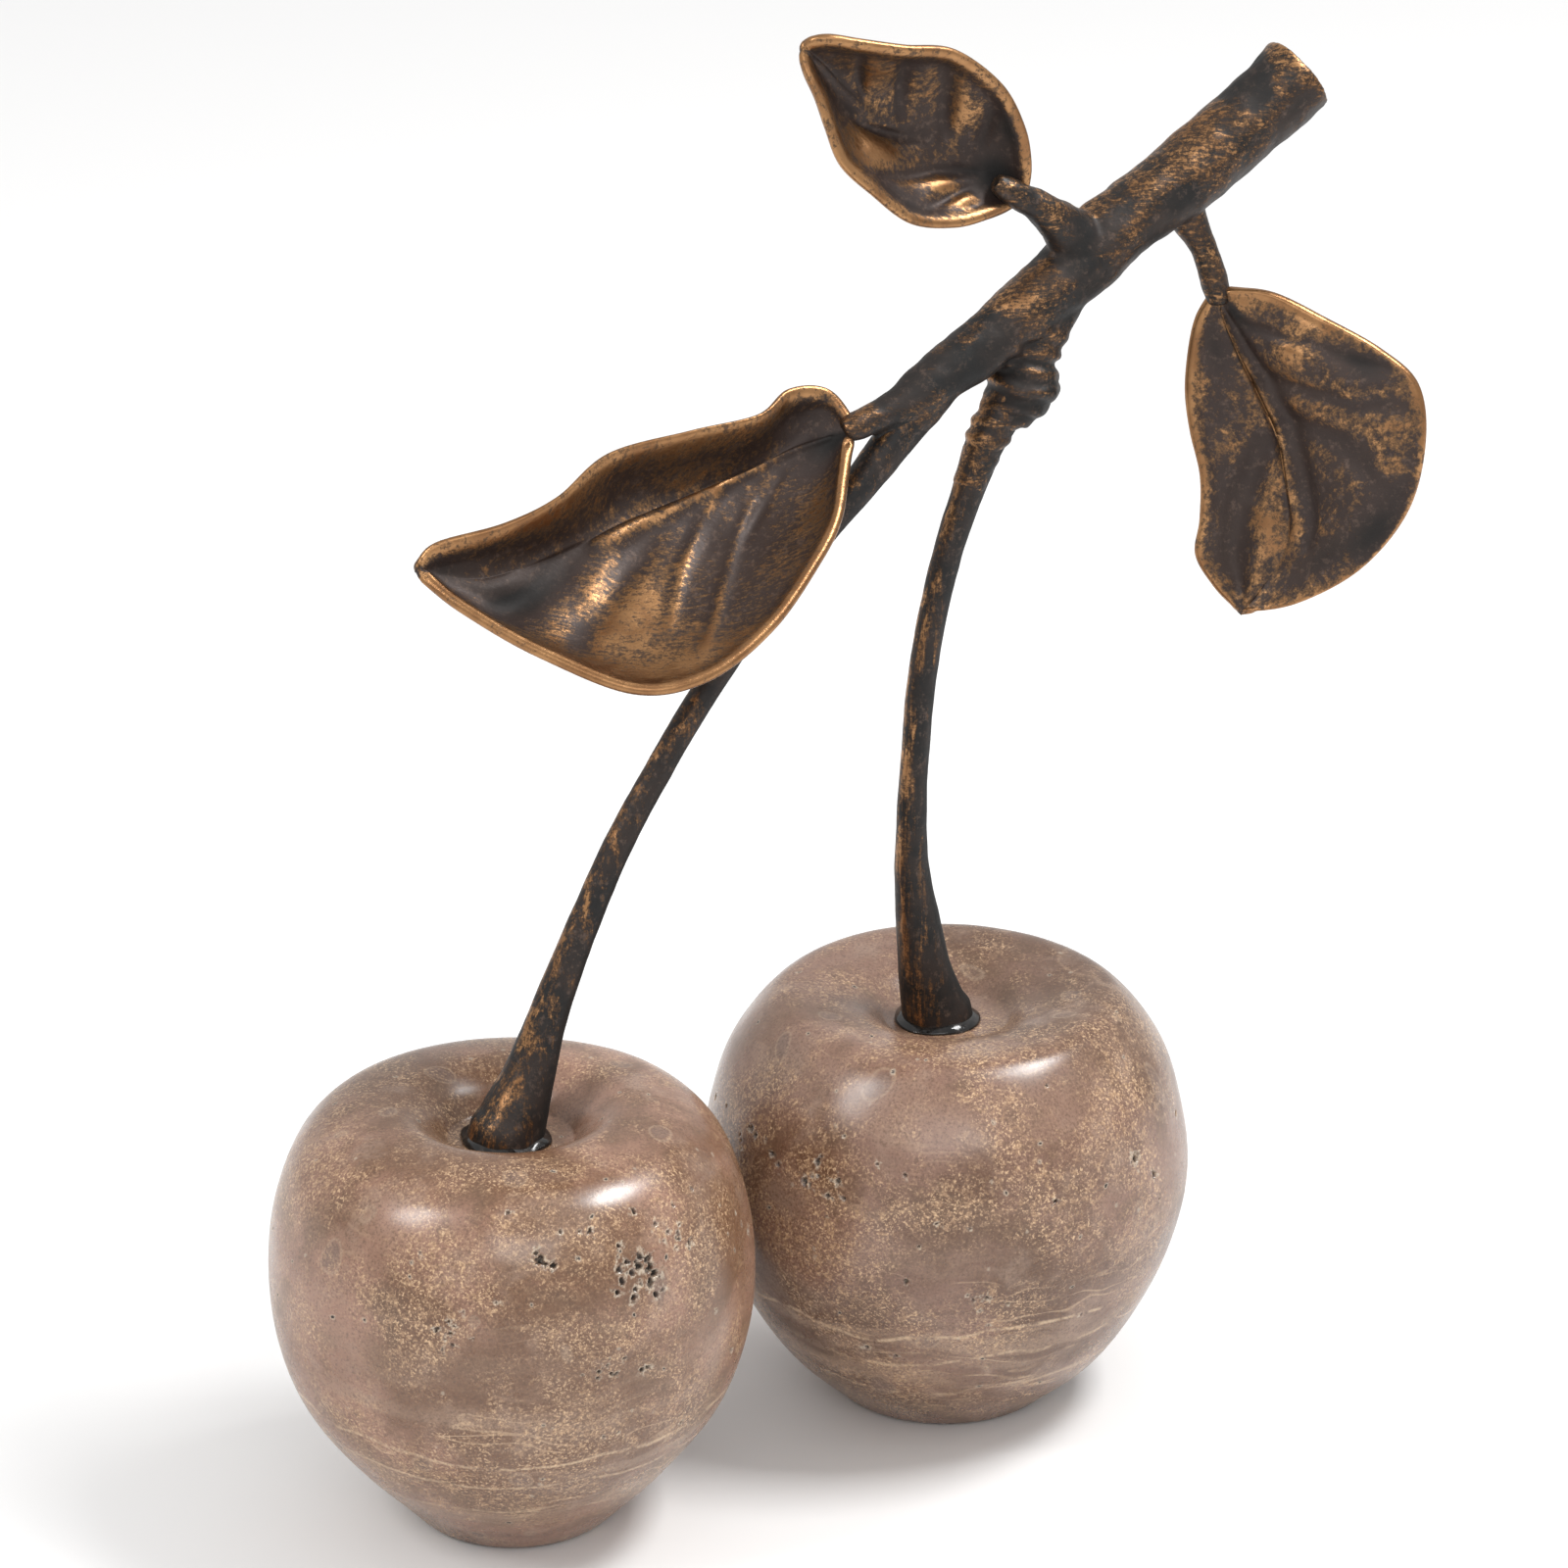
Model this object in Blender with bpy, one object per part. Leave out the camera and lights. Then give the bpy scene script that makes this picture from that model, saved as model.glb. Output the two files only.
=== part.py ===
"""Table ornament: two turned stone cherries under cast bronze stalks, with a branch and three leaves.

Lengths are in millimetres until a mesh is made. Positions run from the point on the floor midway between
the cherries: X to the right, Y to the back, Z up. The branch and both stalks lie in one upright plane
that crosses both cherries, so their routes are given as (distance along that plane, height).
The assembly empty then carries everything so that the origin is under the middle of the whole piece.
"""
import math

import bmesh
import bpy
import numpy as np
from mathutils import Vector

MM = 0.001
GAP = 0.3  # joint clearance between neighbouring pieces
MIDDLE_X, MIDDLE_Y = 23.5, 0.5  # middle of the whole piece, seen from above

# The upright plane of the branch and stalks, turned from X towards Y
PLANE_TURN = math.radians(31.8)

# Cherries: place of the axis in the branch plane and off it, then the turned outline (radius, height)
CHERRY_FRONT_XY = (-43.7, -28.4)
CHERRY_REAR_XY = (43.9, 26.3)
SEAT_RADIUS = 12.4  # flat land at the bottom of the dimple, milled for the stalk's foot
FRONT_SEAT_Z = 82.0
REAR_SEAT_Z = 83.0
FRONT_OUTLINE = [
    (18.8, 0.0), (20.6, 1.3), (32.9, 14.5), (42.9, 28.5), (47.5, 41.5), (48.8, 55.6),
    (47.4, 68.5), (42.9, 80.9), (35.3, 88.0), (23.4, 90.2), (16.8, 87.2), (SEAT_RADIUS, FRONT_SEAT_Z),
]
REAR_OUTLINE = [
    (20.7, 0.0), (22.9, 1.2), (34.4, 12.2), (42.4, 24.8), (47.7, 38.4), (50.0, 51.5),
    (48.4, 64.5), (44.3, 76.6), (35.3, 87.6), (26.0, 88.5), (17.4, 86.4), (SEAT_RADIUS, REAR_SEAT_Z),
]
OUTLINE_STEPS = 2  # rings between two outline points
CHERRY_SIDES = 36

# Anchor studs: steel rods in line with each stalk's foot
STUD_RADIUS = 3.0
STUD_BELOW, STUD_ABOVE = 22.0, 12.0  # depth in the stone and in the stalk, along the stud
STUD_CHAMFER = 0.6
STUD_SIDES = 16

# Epoxy collars around each foot
COLLAR_RADIUS = 10.0
COLLAR_HEIGHT = 2.4

# Stalks: (plane distance, height, radius) along each centre line, foot first
FRONT_STALK = [
    (-52.6, FRONT_SEAT_Z + GAP, 7.7), (-50.2, 87.6, 6.7), (-47.2, 94.5, 5.3), (-43.1, 105.1, 4.1),
    (-39.1, 114.4, 3.6), (-34.2, 124.7, 3.2), (-25.7, 140.5, 2.9), (-17.7, 152.4, 2.8),
    (-8.7, 164.7, 2.8), (2.3, 178.0, 2.9), (11.7, 187.4, 3.0), (20.9, 196.3, 3.1),
    (30.4, 205.0, 3.6), (39.6, 214.0, 4.2), (45.6, 219.4, 4.4),
]
REAR_STALK = [
    (49.4, REAR_SEAT_Z + GAP, 7.4), (47.9, 88.6, 6.4), (46.2, 95.5, 5.4), (44.6, 106.5, 4.5),
    (43.0, 119.0, 3.5), (43.0, 131.9, 3.0), (43.7, 143.9, 2.9), (45.0, 158.1, 2.9),
    (47.5, 172.2, 2.9), (51.1, 185.7, 3.0), (55.8, 198.0, 3.3), (60.2, 208.1, 4.0), (65.6, 216.0, 4.7),
]
STALK_SIDES = 14

# Branch: trunk from the cut tip down to the stub that carries the left leaf
TRUNK = [
    (134.9, 272.1, 7.6), (133.8, 271.4, 8.4), (124.8, 265.5, 8.0), (115.6, 260.1, 7.6), (106.6, 255.0, 7.5),
    (96.8, 250.1, 7.3), (87.0, 245.2, 7.3), (78.6, 239.6, 7.2), (69.4, 234.2, 6.4), (59.8, 229.0, 5.9),
    (51.4, 225.0, 5.6), (43.4, 221.2, 4.9), (38.2, 219.4, 3.9), (33.2, 218.2, 3.1), (29.9, 217.5, 2.9),
]
KNUCKLE = [
    (84.0, 242.0, 5.0), (78.0, 235.8, 5.2), (72.8, 229.2, 5.4), (69.6, 223.8, 5.8), (68.6, 219.2, 7.6),
    (66.6, 215.4, 6.6), (63.8, 212.0, 4.8),
]
BRANCH_SIDES = 18
SPUR_SIDES = 14

# Spur under the upper leaf: (x, y, z, radius)
UPPER_SPUR = [
    (70.0, 43.4, 244.6, 6.8), (67.5, 41.0, 248.2, 5.4), (64.3, 38.4, 252.2, 4.2), (61.0, 36.2, 255.6, 3.3),
]

# Leaves. Each has its blade's base and tip, the way the blade faces, and its two edges and its rib as
# (distance along the blade, distance across it). The blade is a bowl: the rib sinks by cup, each edge
# comes forward by its lift, and swell rounds each half between the rib and the edge.
BLADE_HALF_THICKNESS = 0.95
LEAVES = {
    "leaf_left": {
        "base": (23.8, 14.0, 216.9), "tip": (-60.5, -20.0, 202.4), "face": (0.139, -0.66, 0.738),
        "far_edge": [(-1.9, -1.9), (1.5, -9.0), (9.4, -10.5), (17.8, -6.6), (32.3, -7.2), (49.4, -7.7),
                     (62.1, -2.5), (73.6, -1.1), (86.9, -2.4), (91.6, -1.2)],
        "rib": [(-0.4, 0.3), (3.7, -1.0), (10.2, -1.7), (20.3, -0.8), (33.3, 0.2), (46.3, 1.5),
                (60.9, 3.7), (78.2, 5.1), (87.6, 2.6), (92.3, 0.6)],
        "near_edge": [(1.4, 2.4), (5.8, 10.5), (10.3, 18.2), (17.3, 25.3), (31.9, 36.2), (47.9, 42.3),
                      (62.4, 40.2), (76.4, 26.7), (86.3, 13.1), (91.6, 2.8)],
        "cup": 8.0, "far_lift": 7.0, "near_lift": 4.0, "far_swell": 0.0, "near_swell": -1.5,
        "petiole": [(28.6, 17.2, 217.9, 2.6), (25.8, 15.8, 217.4, 2.9), (23.2, 14.0, 216.6, 2.4),
                    (18.6, 11.2, 214.4, 1.6)],
    },
    "leaf_right": {
        "base": (97.6, 54.0, 231.4), "tip": (103.1, 44.0, 165.5), "face": (-0.251, -0.96, 0.125),
        "far_edge": [(0.8, -2.0), (5.7, -4.8), (12.3, -6.5), (20.2, -7.5), (28.3, -7.0), (37.5, -5.6),
                     (46.7, -6.4), (54.2, -8.0), (61.1, -4.9), (65.9, -1.3)],
        "rib": [(0.2, 0.2), (6.4, 1.3), (13.5, 3.6), (21.8, 7.0), (30.1, 10.0), (39.3, 11.4),
                (48.4, 11.4), (56.4, 9.0), (62.7, 4.6), (67.4, 0.1)],
        "near_edge": [(-0.7, 2.3), (0.8, 11.4), (6.5, 21.8), (13.3, 32.6), (20.7, 39.5), (32.5, 40.2),
                      (46.5, 35.9), (57.9, 26.0), (64.7, 13.2), (67.0, 1.6)],
        "cup": 3.0, "far_lift": 3.0, "near_lift": -2.0, "far_swell": 0.6, "near_swell": 3.0,
        "petiole": [(88.6, 57.0, 252.0, 5.2), (91.6, 56.6, 246.2, 3.6), (95.0, 55.6, 239.0, 2.6),
                    (97.1, 54.6, 232.6, 2.7), (98.2, 53.2, 226.4, 1.8)],
    },
    "leaf_upper": {
        "base": (57.1, 34.0, 258.4), "tip": (14.9, 22.0, 294.0), "face": (0.389, -0.908, 0.156),
        "far_edge": [(-1.1, -2.1), (2.9, -7.0), (9.2, -11.9), (18.7, -15.8), (31.3, -15.8), (40.6, -10.9),
                     (48.9, -6.9), (54.6, -4.2), (56.9, -2.0), (57.2, -0.4)],
        "rib": [(-0.6, 0.1), (3.9, -0.3), (9.5, -0.2), (16.2, 0.5), (23.0, 1.6), (30.1, 2.6),
                (36.7, 2.8), (43.4, 2.1), (50.1, 1.1), (56.8, 0.8)],
        "near_edge": [(0.0, 2.5), (3.8, 6.7), (9.6, 12.1), (18.6, 16.5), (29.4, 16.2), (38.0, 15.0),
                      (44.4, 10.8), (49.5, 6.9), (53.4, 4.4), (56.0, 2.0)],
        "cup": 6.0, "far_lift": 5.0, "near_lift": 4.0, "far_swell": -0.5, "near_swell": -0.5,
        "petiole": [(61.0, 36.2, 255.8, 3.0), (57.6, 34.3, 258.2, 2.8), (54.2, 32.8, 261.0, 2.2)],
    },
}
BLADE_EDGE_POWER = 0.35  # how soon the blade is full thickness, going in from its edge
BLADE_RINGS = 22
BLADE_SIDES = 24
PETIOLE_SIDES = 12
SHORT_STEP = 0.004  # share of the blade that its slope is read over


def clear_scene():
    for obj in list(bpy.data.objects):
        bpy.data.objects.remove(obj, do_unlink=True)


def make_material(name, colour, roughness, metallic):
    material = bpy.data.materials.new(name)
    material.use_nodes = True
    shader = material.node_tree.nodes["Principled BSDF"]
    shader.inputs["Base Color"].default_value = (*colour, 1.0)
    shader.inputs["Roughness"].default_value = roughness
    shader.inputs["Metallic"].default_value = metallic
    return material


def in_plane(distance, height):
    """A point of the branch plane, as x, y, z."""
    return (distance * math.cos(PLANE_TURN), distance * math.sin(PLANE_TURN), height)


def plane_route(points):
    """(distance, height, radius) rows as x, y, z, radius rows."""
    return [(*in_plane(distance, height), radius) for distance, height, radius in points]


def smooth_at(points, place):
    """One row of the Catmull-Rom curve through points, at a place counted in points."""
    rows = np.array(points, float)
    first = min(int(place), len(rows) - 2)
    t = place - first
    b, c = rows[first], rows[first + 1]
    a = rows[first - 1] if first > 0 else 2 * b - c
    d = rows[first + 2] if first + 2 < len(rows) else 2 * c - b
    return 0.5 * (2 * b + (c - a) * t + (2 * a - 5 * b + 4 * c - d) * t**2 + (3 * b - a - 3 * c + d) * t**3)


def smooth(points, count):
    """count + 1 rows on the curve through points, evenly spaced between them."""
    return np.array([smooth_at(points, place) for place in np.linspace(0, len(points) - 1, count + 1)])


def unit(vectors):
    return vectors / np.linalg.norm(vectors, axis=-1, keepdims=True)


def loft(name, rings, material):
    """A closed solid through rings of equal length, with a fan on each end."""
    rings = np.array(rings)
    ring_count, sides = rings.shape[:2]
    mesh = bmesh.new()
    grid = [[mesh.verts.new(Vector(point) * MM) for point in ring] for ring in rings]
    for lower, upper in zip(grid, grid[1:]):
        for side in range(sides):
            after = (side + 1) % sides
            mesh.faces.new((lower[side], lower[after], upper[after], upper[side]))
    for ring, points in ((grid[0], rings[0]), (grid[-1], rings[-1])):
        centre = mesh.verts.new(Vector(points.mean(axis=0)) * MM)
        for side in range(sides):
            mesh.faces.new((centre, ring[side], ring[(side + 1) % sides]))
    bmesh.ops.recalc_face_normals(mesh, faces=mesh.faces)
    data = bpy.data.meshes.new(name)
    mesh.to_mesh(data)
    mesh.free()
    data.shade_smooth()
    data.set_sharp_from_angle(angle=math.radians(40))
    data.materials.append(material)
    obj = bpy.data.objects.new(name, data)
    bpy.context.scene.collection.objects.link(obj)
    return obj


def tube_rings(route, sides, start_normal=None):
    """Circles along a route of x, y, z, radius rows; start_normal turns the first ones to a flat seat."""
    route = np.array(route, float)
    centres, radii = route[:, :3], route[:, 3]
    normals = unit(np.gradient(centres, axis=0))
    if start_normal is not None:
        for index, share in enumerate((1.0, 0.6, 0.25)):
            normals[index] = unit(share * np.array(start_normal) + (1 - share) * normals[index])
    angles = np.arange(sides) * 2 * math.pi / sides
    side_axis = unit(np.cross(normals[0], (0.3, 1.0, 0.2)))
    rings = []
    for centre, radius, normal in zip(centres, radii, normals):
        side_axis = unit(side_axis - normal * (side_axis @ normal))
        other_axis = np.cross(normal, side_axis)
        circle = np.outer(np.cos(angles), side_axis) + np.outer(np.sin(angles), other_axis)
        rings.append(centre + radius * circle)
    return rings


def tube(name, rows, sides, material, start_normal=None):
    return loft(name, tube_rings(rows, sides, start_normal), material)


def turned(name, outline, centre_xy, sides, material):
    """A solid turned about an upright axis from (radius, height) rows, with flat ends."""
    angles = np.arange(sides) * 2 * math.pi / sides
    rings = [
        np.stack([
            centre_xy[0] + radius * np.cos(angles),
            centre_xy[1] + radius * np.sin(angles),
            np.full(sides, height),
        ], axis=1)
        for radius, height in outline
    ]
    return loft(name, rings, material)


def helper(obj):
    """Keeps a solid as a cutter only."""
    obj.hide_render = True
    obj.display_type = "WIRE"
    return obj


def combine(target, other, operation):
    modifier = target.modifiers.new(f"{operation.lower()}_{other.name}", "BOOLEAN")
    modifier.operation = operation
    modifier.solver = "EXACT"
    modifier.object = helper(other)


def grown(rows):
    """The same tube, larger by the joint clearance all round and past both ends."""
    rows = np.array(rows, float)
    rows[:, 3] += GAP
    before, after = rows[0].copy(), rows[-1].copy()
    before[:3] += GAP * unit(rows[0, :3] - rows[1, :3])
    after[:3] += GAP * unit(rows[-1, :3] - rows[-2, :3])
    return np.vstack([before, rows, after])


def make_cherry(name, centre_xy, outline, material):
    flat, *rest = outline
    rows = smooth(rest, OUTLINE_STEPS * (len(rest) - 1))
    return turned(name, [flat, *rows], centre_xy, CHERRY_SIDES, material)


def foot_axis(route):
    """Direction of a stalk where it leaves its foot."""
    start, above = np.array(route[0][:3]), np.array(route[2][:3])
    return unit(above - start)


def make_anchor(name, cherry, stalk, route, material):
    """The steel stud in line with a stalk's foot, and the blind holes it fits in stone and stalk."""
    foot, axis = np.array(route[0][:3]), foot_axis(route)
    stud_ends = [
        (-STUD_BELOW, STUD_RADIUS - STUD_CHAMFER), (-STUD_BELOW + STUD_CHAMFER, STUD_RADIUS),
        (STUD_ABOVE - STUD_CHAMFER, STUD_RADIUS), (STUD_ABOVE, STUD_RADIUS - STUD_CHAMFER),
    ]
    stud = loft(name, tube_rings([(*(foot + axis * s), r) for s, r in stud_ends], STUD_SIDES), material)
    hole_radius = STUD_RADIUS + GAP
    for target, low, high in ((cherry, -STUD_BELOW - GAP, 4.0), (stalk, -4.0, STUD_ABOVE + GAP)):
        ends = [(*(foot + axis * s), hole_radius) for s in (low, high)]
        combine(target, loft(f"hole_{target.name}", tube_rings(ends, STUD_SIDES), material), "DIFFERENCE")
    return stud


def make_collar(name, route, material):
    """A low epoxy ring on the seat, open in the middle for the stalk's foot."""
    floor = route[0][2]
    outline = [
        (COLLAR_RADIUS - 0.4, floor), (COLLAR_RADIUS, floor + 0.5),
        (COLLAR_RADIUS - 0.6, floor + 0.65 * COLLAR_HEIGHT), (COLLAR_RADIUS - 1.7, floor + COLLAR_HEIGHT),
    ]
    collar = turned(name, outline, route[0][:2], 2 * STUD_SIDES, material)
    below = (*route[0][:2], floor - 2 * COLLAR_HEIGHT, route[0][3])
    hole = grown([below, *route[:4]])
    combine(collar, tube(f"foot_of_{name}", hole, STALK_SIDES, material, (0, 0, 1)), "DIFFERENCE")


def blade_point(leaf, frame, u, v):
    """A point of the blade's middle: u runs from base to tip, v from far edge (-1) to near edge (1)."""
    base, along, across, face = frame
    edge_key = "far_edge" if v < 0 else "near_edge"
    side = edge_key.split("_")[0]
    steps = len(leaf["rib"]) - 1
    rib = smooth_at(leaf["rib"], u * steps)
    edge = smooth_at(leaf[edge_key], u * steps)
    arch = math.sin(math.pi * u)
    rib_depth = -leaf["cup"] * arch**0.7
    edge_depth = leaf[side + "_lift"] * arch
    s = abs(v)
    place = rib + (edge - rib) * s
    depth = rib_depth + (edge_depth - rib_depth) * s**2 + leaf[side + "_swell"] * arch * math.sin(math.pi * s)
    return base + along * place[0] + across * place[1] + face * depth


def blade_normal(leaf, frame, u, v):
    """The way the blade faces at u, v, from short steps along and across it."""
    u = min(max(u, SHORT_STEP), 1 - SHORT_STEP)
    v = min(max(v, SHORT_STEP - 1), 1 - SHORT_STEP)
    down = blade_point(leaf, frame, u + SHORT_STEP, v) - blade_point(leaf, frame, u - SHORT_STEP, v)
    over = blade_point(leaf, frame, u, v + SHORT_STEP) - blade_point(leaf, frame, u, v - SHORT_STEP)
    return unit(np.cross(over, down))


def blade_rings(leaf):
    """Flat closed sections of the blade: thin plates with round edges."""
    base = np.array(leaf["base"])
    along = unit(np.array(leaf["tip"]) - base)
    face = np.array(leaf["face"])
    face = unit(face - along * (face @ along))
    frame = (base, along, np.cross(face, along), face)
    rings = []
    for u in np.linspace(0.0, 1.0, BLADE_RINGS):
        ring = []
        for index in range(BLADE_SIDES):
            angle = 2 * math.pi * index / BLADE_SIDES
            v = math.cos(angle)
            rise = round(math.sin(angle), 6)
            offset = BLADE_HALF_THICKNESS * math.copysign(abs(rise) ** BLADE_EDGE_POWER, rise)
            ring.append(blade_point(leaf, frame, u, v) + blade_normal(leaf, frame, u, v) * offset)
        rings.append(ring)
    return rings


def make_leaf(name, leaf, material):
    blade = loft(name, blade_rings(leaf), material)
    petiole = tube(f"petiole_{name}", smooth(leaf["petiole"], 7), PETIOLE_SIDES, material)
    combine(blade, petiole, "UNION")
    return blade


def main():
    clear_scene()
    stone = make_material("travertine", (0.36, 0.25, 0.18), 0.25, 0.0)
    bronze = make_material("antiqued_bronze", (0.11, 0.07, 0.04), 0.45, 0.9)
    steel = make_material("zinc_steel", (0.5, 0.5, 0.5), 0.35, 1.0)
    epoxy = make_material("black_epoxy", (0.01, 0.01, 0.01), 0.15, 0.0)

    cherry_front = make_cherry("cherry_front", CHERRY_FRONT_XY, FRONT_OUTLINE, stone)
    cherry_rear = make_cherry("cherry_rear", CHERRY_REAR_XY, REAR_OUTLINE, stone)

    front_rows, rear_rows = smooth(plane_route(FRONT_STALK), 26), smooth(plane_route(REAR_STALK), 24)
    stalk_front = tube("stalk_front", front_rows, STALK_SIDES, bronze, (0, 0, 1))
    stalk_rear = tube("stalk_rear", rear_rows, STALK_SIDES, bronze, (0, 0, 1))
    make_anchor("anchor_stud_front", cherry_front, stalk_front, front_rows, steel)
    make_anchor("anchor_stud_rear", cherry_rear, stalk_rear, rear_rows, steel)
    make_collar("glue_collar_front", front_rows, epoxy)
    make_collar("glue_collar_rear", rear_rows, epoxy)

    trunk_rows, knuckle_rows = smooth(plane_route(TRUNK), 28), smooth(plane_route(KNUCKLE), 12)
    spur_rows = smooth(UPPER_SPUR, 5)
    branch = tube("branch", trunk_rows, BRANCH_SIDES, bronze)
    combine(branch, tube("knuckle", knuckle_rows, SPUR_SIDES, bronze), "UNION")
    combine(branch, tube("upper_spur", spur_rows, SPUR_SIDES, bronze), "UNION")

    # Each piece that meets the branch is coped to it, with the joint's clearance.
    trunk_cope = tube("trunk_cope", grown(trunk_rows), BRANCH_SIDES, bronze)
    knuckle_cope = tube("knuckle_cope", grown(knuckle_rows), SPUR_SIDES, bronze)
    spur_cope = tube("spur_cope", grown(spur_rows), SPUR_SIDES, bronze)
    combine(stalk_front, trunk_cope, "DIFFERENCE")
    combine(stalk_rear, knuckle_cope, "DIFFERENCE")
    copes = {"leaf_left": trunk_cope, "leaf_right": trunk_cope, "leaf_upper": spur_cope}
    for name, leaf in LEAVES.items():
        combine(make_leaf(name, leaf, bronze), copes[name], "DIFFERENCE")

    assembly = bpy.data.objects.new("assembly", None)
    bpy.context.scene.collection.objects.link(assembly)
    assembly.location = (-MIDDLE_X * MM, -MIDDLE_Y * MM, 0.0)
    for obj in list(bpy.context.scene.collection.objects):
        if obj is not assembly:
            obj.parent = assembly


main()
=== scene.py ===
import math

import bmesh
import bpy
import numpy as np
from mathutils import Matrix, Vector, noise


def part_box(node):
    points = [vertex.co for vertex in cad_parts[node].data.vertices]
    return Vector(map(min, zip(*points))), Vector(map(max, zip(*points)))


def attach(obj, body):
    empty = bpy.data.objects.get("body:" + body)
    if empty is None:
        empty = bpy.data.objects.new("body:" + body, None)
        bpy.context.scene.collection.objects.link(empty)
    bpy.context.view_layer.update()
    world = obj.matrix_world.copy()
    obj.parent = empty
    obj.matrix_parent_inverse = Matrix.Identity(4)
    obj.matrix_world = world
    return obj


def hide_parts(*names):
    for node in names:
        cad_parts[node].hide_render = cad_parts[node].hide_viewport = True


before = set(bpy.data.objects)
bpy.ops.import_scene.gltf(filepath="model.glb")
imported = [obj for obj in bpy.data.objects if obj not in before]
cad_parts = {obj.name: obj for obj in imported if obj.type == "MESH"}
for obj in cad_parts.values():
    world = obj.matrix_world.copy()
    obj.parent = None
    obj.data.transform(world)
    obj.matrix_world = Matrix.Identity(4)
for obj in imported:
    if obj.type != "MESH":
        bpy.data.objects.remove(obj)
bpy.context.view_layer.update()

MM = 0.001

# ---------------------------------------------------------------- the two stone cherries
# Two solid fruits of brown travertine, turned, carved a little by hand, then honed and polished.
# The stone keeps its own small holes and cream crystals. Each has a flat foot to stand on.

FRONT_OUTLINE = [  # radius, height in mm; the first row is the edge of the flat foot
    (18.8, 0.0), (20.6, 1.3), (32.9, 14.5), (42.9, 28.5), (47.5, 41.5), (48.8, 55.6), (47.4, 68.5),
    (42.9, 80.9), (35.3, 88.0), (23.4, 90.2), (16.8, 87.2), (12.4, 82.0),
]
REAR_OUTLINE = [
    (20.7, 0.0), (22.9, 1.2), (34.4, 12.2), (42.4, 24.8), (47.7, 38.4), (50.0, 51.5), (48.4, 64.5),
    (44.3, 76.6), (35.3, 87.6), (26.0, 88.5), (17.4, 86.4), (12.4, 83.0),
]
ROW_STEP = 0.95
STONE_SIDES = 324
BORE_RADIUS, BORE_DEPTH = 3.6, 21.0

# Holes: turn about the stone from the front in degrees (right is positive), height, radius, depth.
FRONT_HOLES = [
    (9, 77.7, 1.3, 1.3), (12, 76.6, 0.9, 1.0), (8, 79.0, 0.7, 0.8), (30, 78.1, 0.8, 0.9), (29, 76.2, 0.6, 0.7),
    (37, 82.8, 0.7, 0.8), (45, 77.7, 0.9, 0.8), (48, 76.4, 0.6, 0.6), (51, 73.8, 0.9, 0.8), (1, 85.6, 0.5, 0.5),
    (15, 82.3, 0.5, 0.5), (23, 81.7, 0.7, 0.7), (20, 81.9, 0.5, 0.5), (-13, 63.3, 0.7, 0.7), (-12, 64.8, 0.5, 0.5),
    (-14, 62.0, 0.5, 0.5), (22, 53.9, 0.5, 0.8), (25, 53.0, 0.6, 0.8), (24, 55.0, 0.5, 0.6), (33, 52.1, 0.9, 0.9),
    (34.5, 52.2, 0.7, 0.9), (-22, 78.0, 0.5, 0.4), (57, 58.0, 0.5, 0.5), (-2, 70.0, 0.5, 0.5),
    (48, 35.0, 0.6, 0.5), (24, 38.0, 0.5, 0.5), (28, 38.4, 0.4, 0.4), (59, 82.0, 0.6, 0.7),
]
REAR_HOLES = [
    (52, 65.5, 1.4, 1.7), (59, 59.7, 1.0, 1.2), (26, 62.8, 0.7, 0.9), (-37, 64.8, 1.1, 0.9), (-28, 66.7, 0.9, 0.9),
    (-30, 63.4, 0.7, 0.7), (-34, 69.4, 0.7, 0.7), (-10, 47.2, 0.7, 0.8), (9, 43.2, 0.8, 0.6), (-3, 60.6, 0.5, 0.6),
    (-7, 55.5, 0.5, 0.6), (-18, 71.5, 0.5, 0.6), (-11, 70.0, 0.5, 0.6), (60, 54.0, 0.5, 0.6), (-28, 75.5, 0.5, 0.6),
    (10, 36.0, 0.5, 0.6), (36, 34.0, 0.5, 0.5), (-14, 27.0, 0.6, 0.6), (-22, 28.5, 0.7, 0.6), (30, 84.0, 0.5, 0.5),
    (5, 59.0, 0.4, 0.5), (-46, 66.0, 0.8, 0.8), (-58, 70.0, 1.0, 0.8),
]
FRONT_SPONGY = [(35, 71.6, 3.2, 22, 1.15), (-14, 62.6, 2.6, 9, 0.5), (24, 54.0, 2.6, 8, 0.45), (46, 75.5, 4.0, 10, 0.6)]
REAR_SPONGY = [(-32, 66.0, 4.0, 8, 0.55), (9, 43.5, 2.2, 7, 0.45), (-60, 68.0, 4.0, 9, 0.7)]


def smooth_at(points, place):
    """One row of the Catmull-Rom curve through points, at a place counted in points."""
    rows = np.array(points, float)
    first = min(int(place), len(rows) - 2)
    t = place - first
    b, c = rows[first], rows[first + 1]
    a = rows[first - 1] if first > 0 else 2 * b - c
    d = rows[first + 2] if first + 2 < len(rows) else 2 * c - b
    return 0.5 * (2 * b + (c - a) * t + (2 * a - 5 * b + 4 * c - d) * t**2 + (3 * b - a - 3 * c + d) * t**3)


def even_rows(points, step):
    """Rows of the curve through points, evenly spaced by about step along its first columns."""
    fine = np.array([smooth_at(points, place) for place in np.linspace(0, len(points) - 1, 60 * len(points))])
    width = min(3, fine.shape[1]) if fine.shape[1] > 2 else 2
    run = np.concatenate([[0], np.cumsum(np.linalg.norm(np.diff(fine[:, :width], axis=0), axis=1))])
    spots = np.linspace(0, run[-1], max(2, round(run[-1] / step)) + 1)
    return np.stack([np.interp(spots, run, fine[:, column]) for column in range(fine.shape[1])], axis=1)


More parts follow.
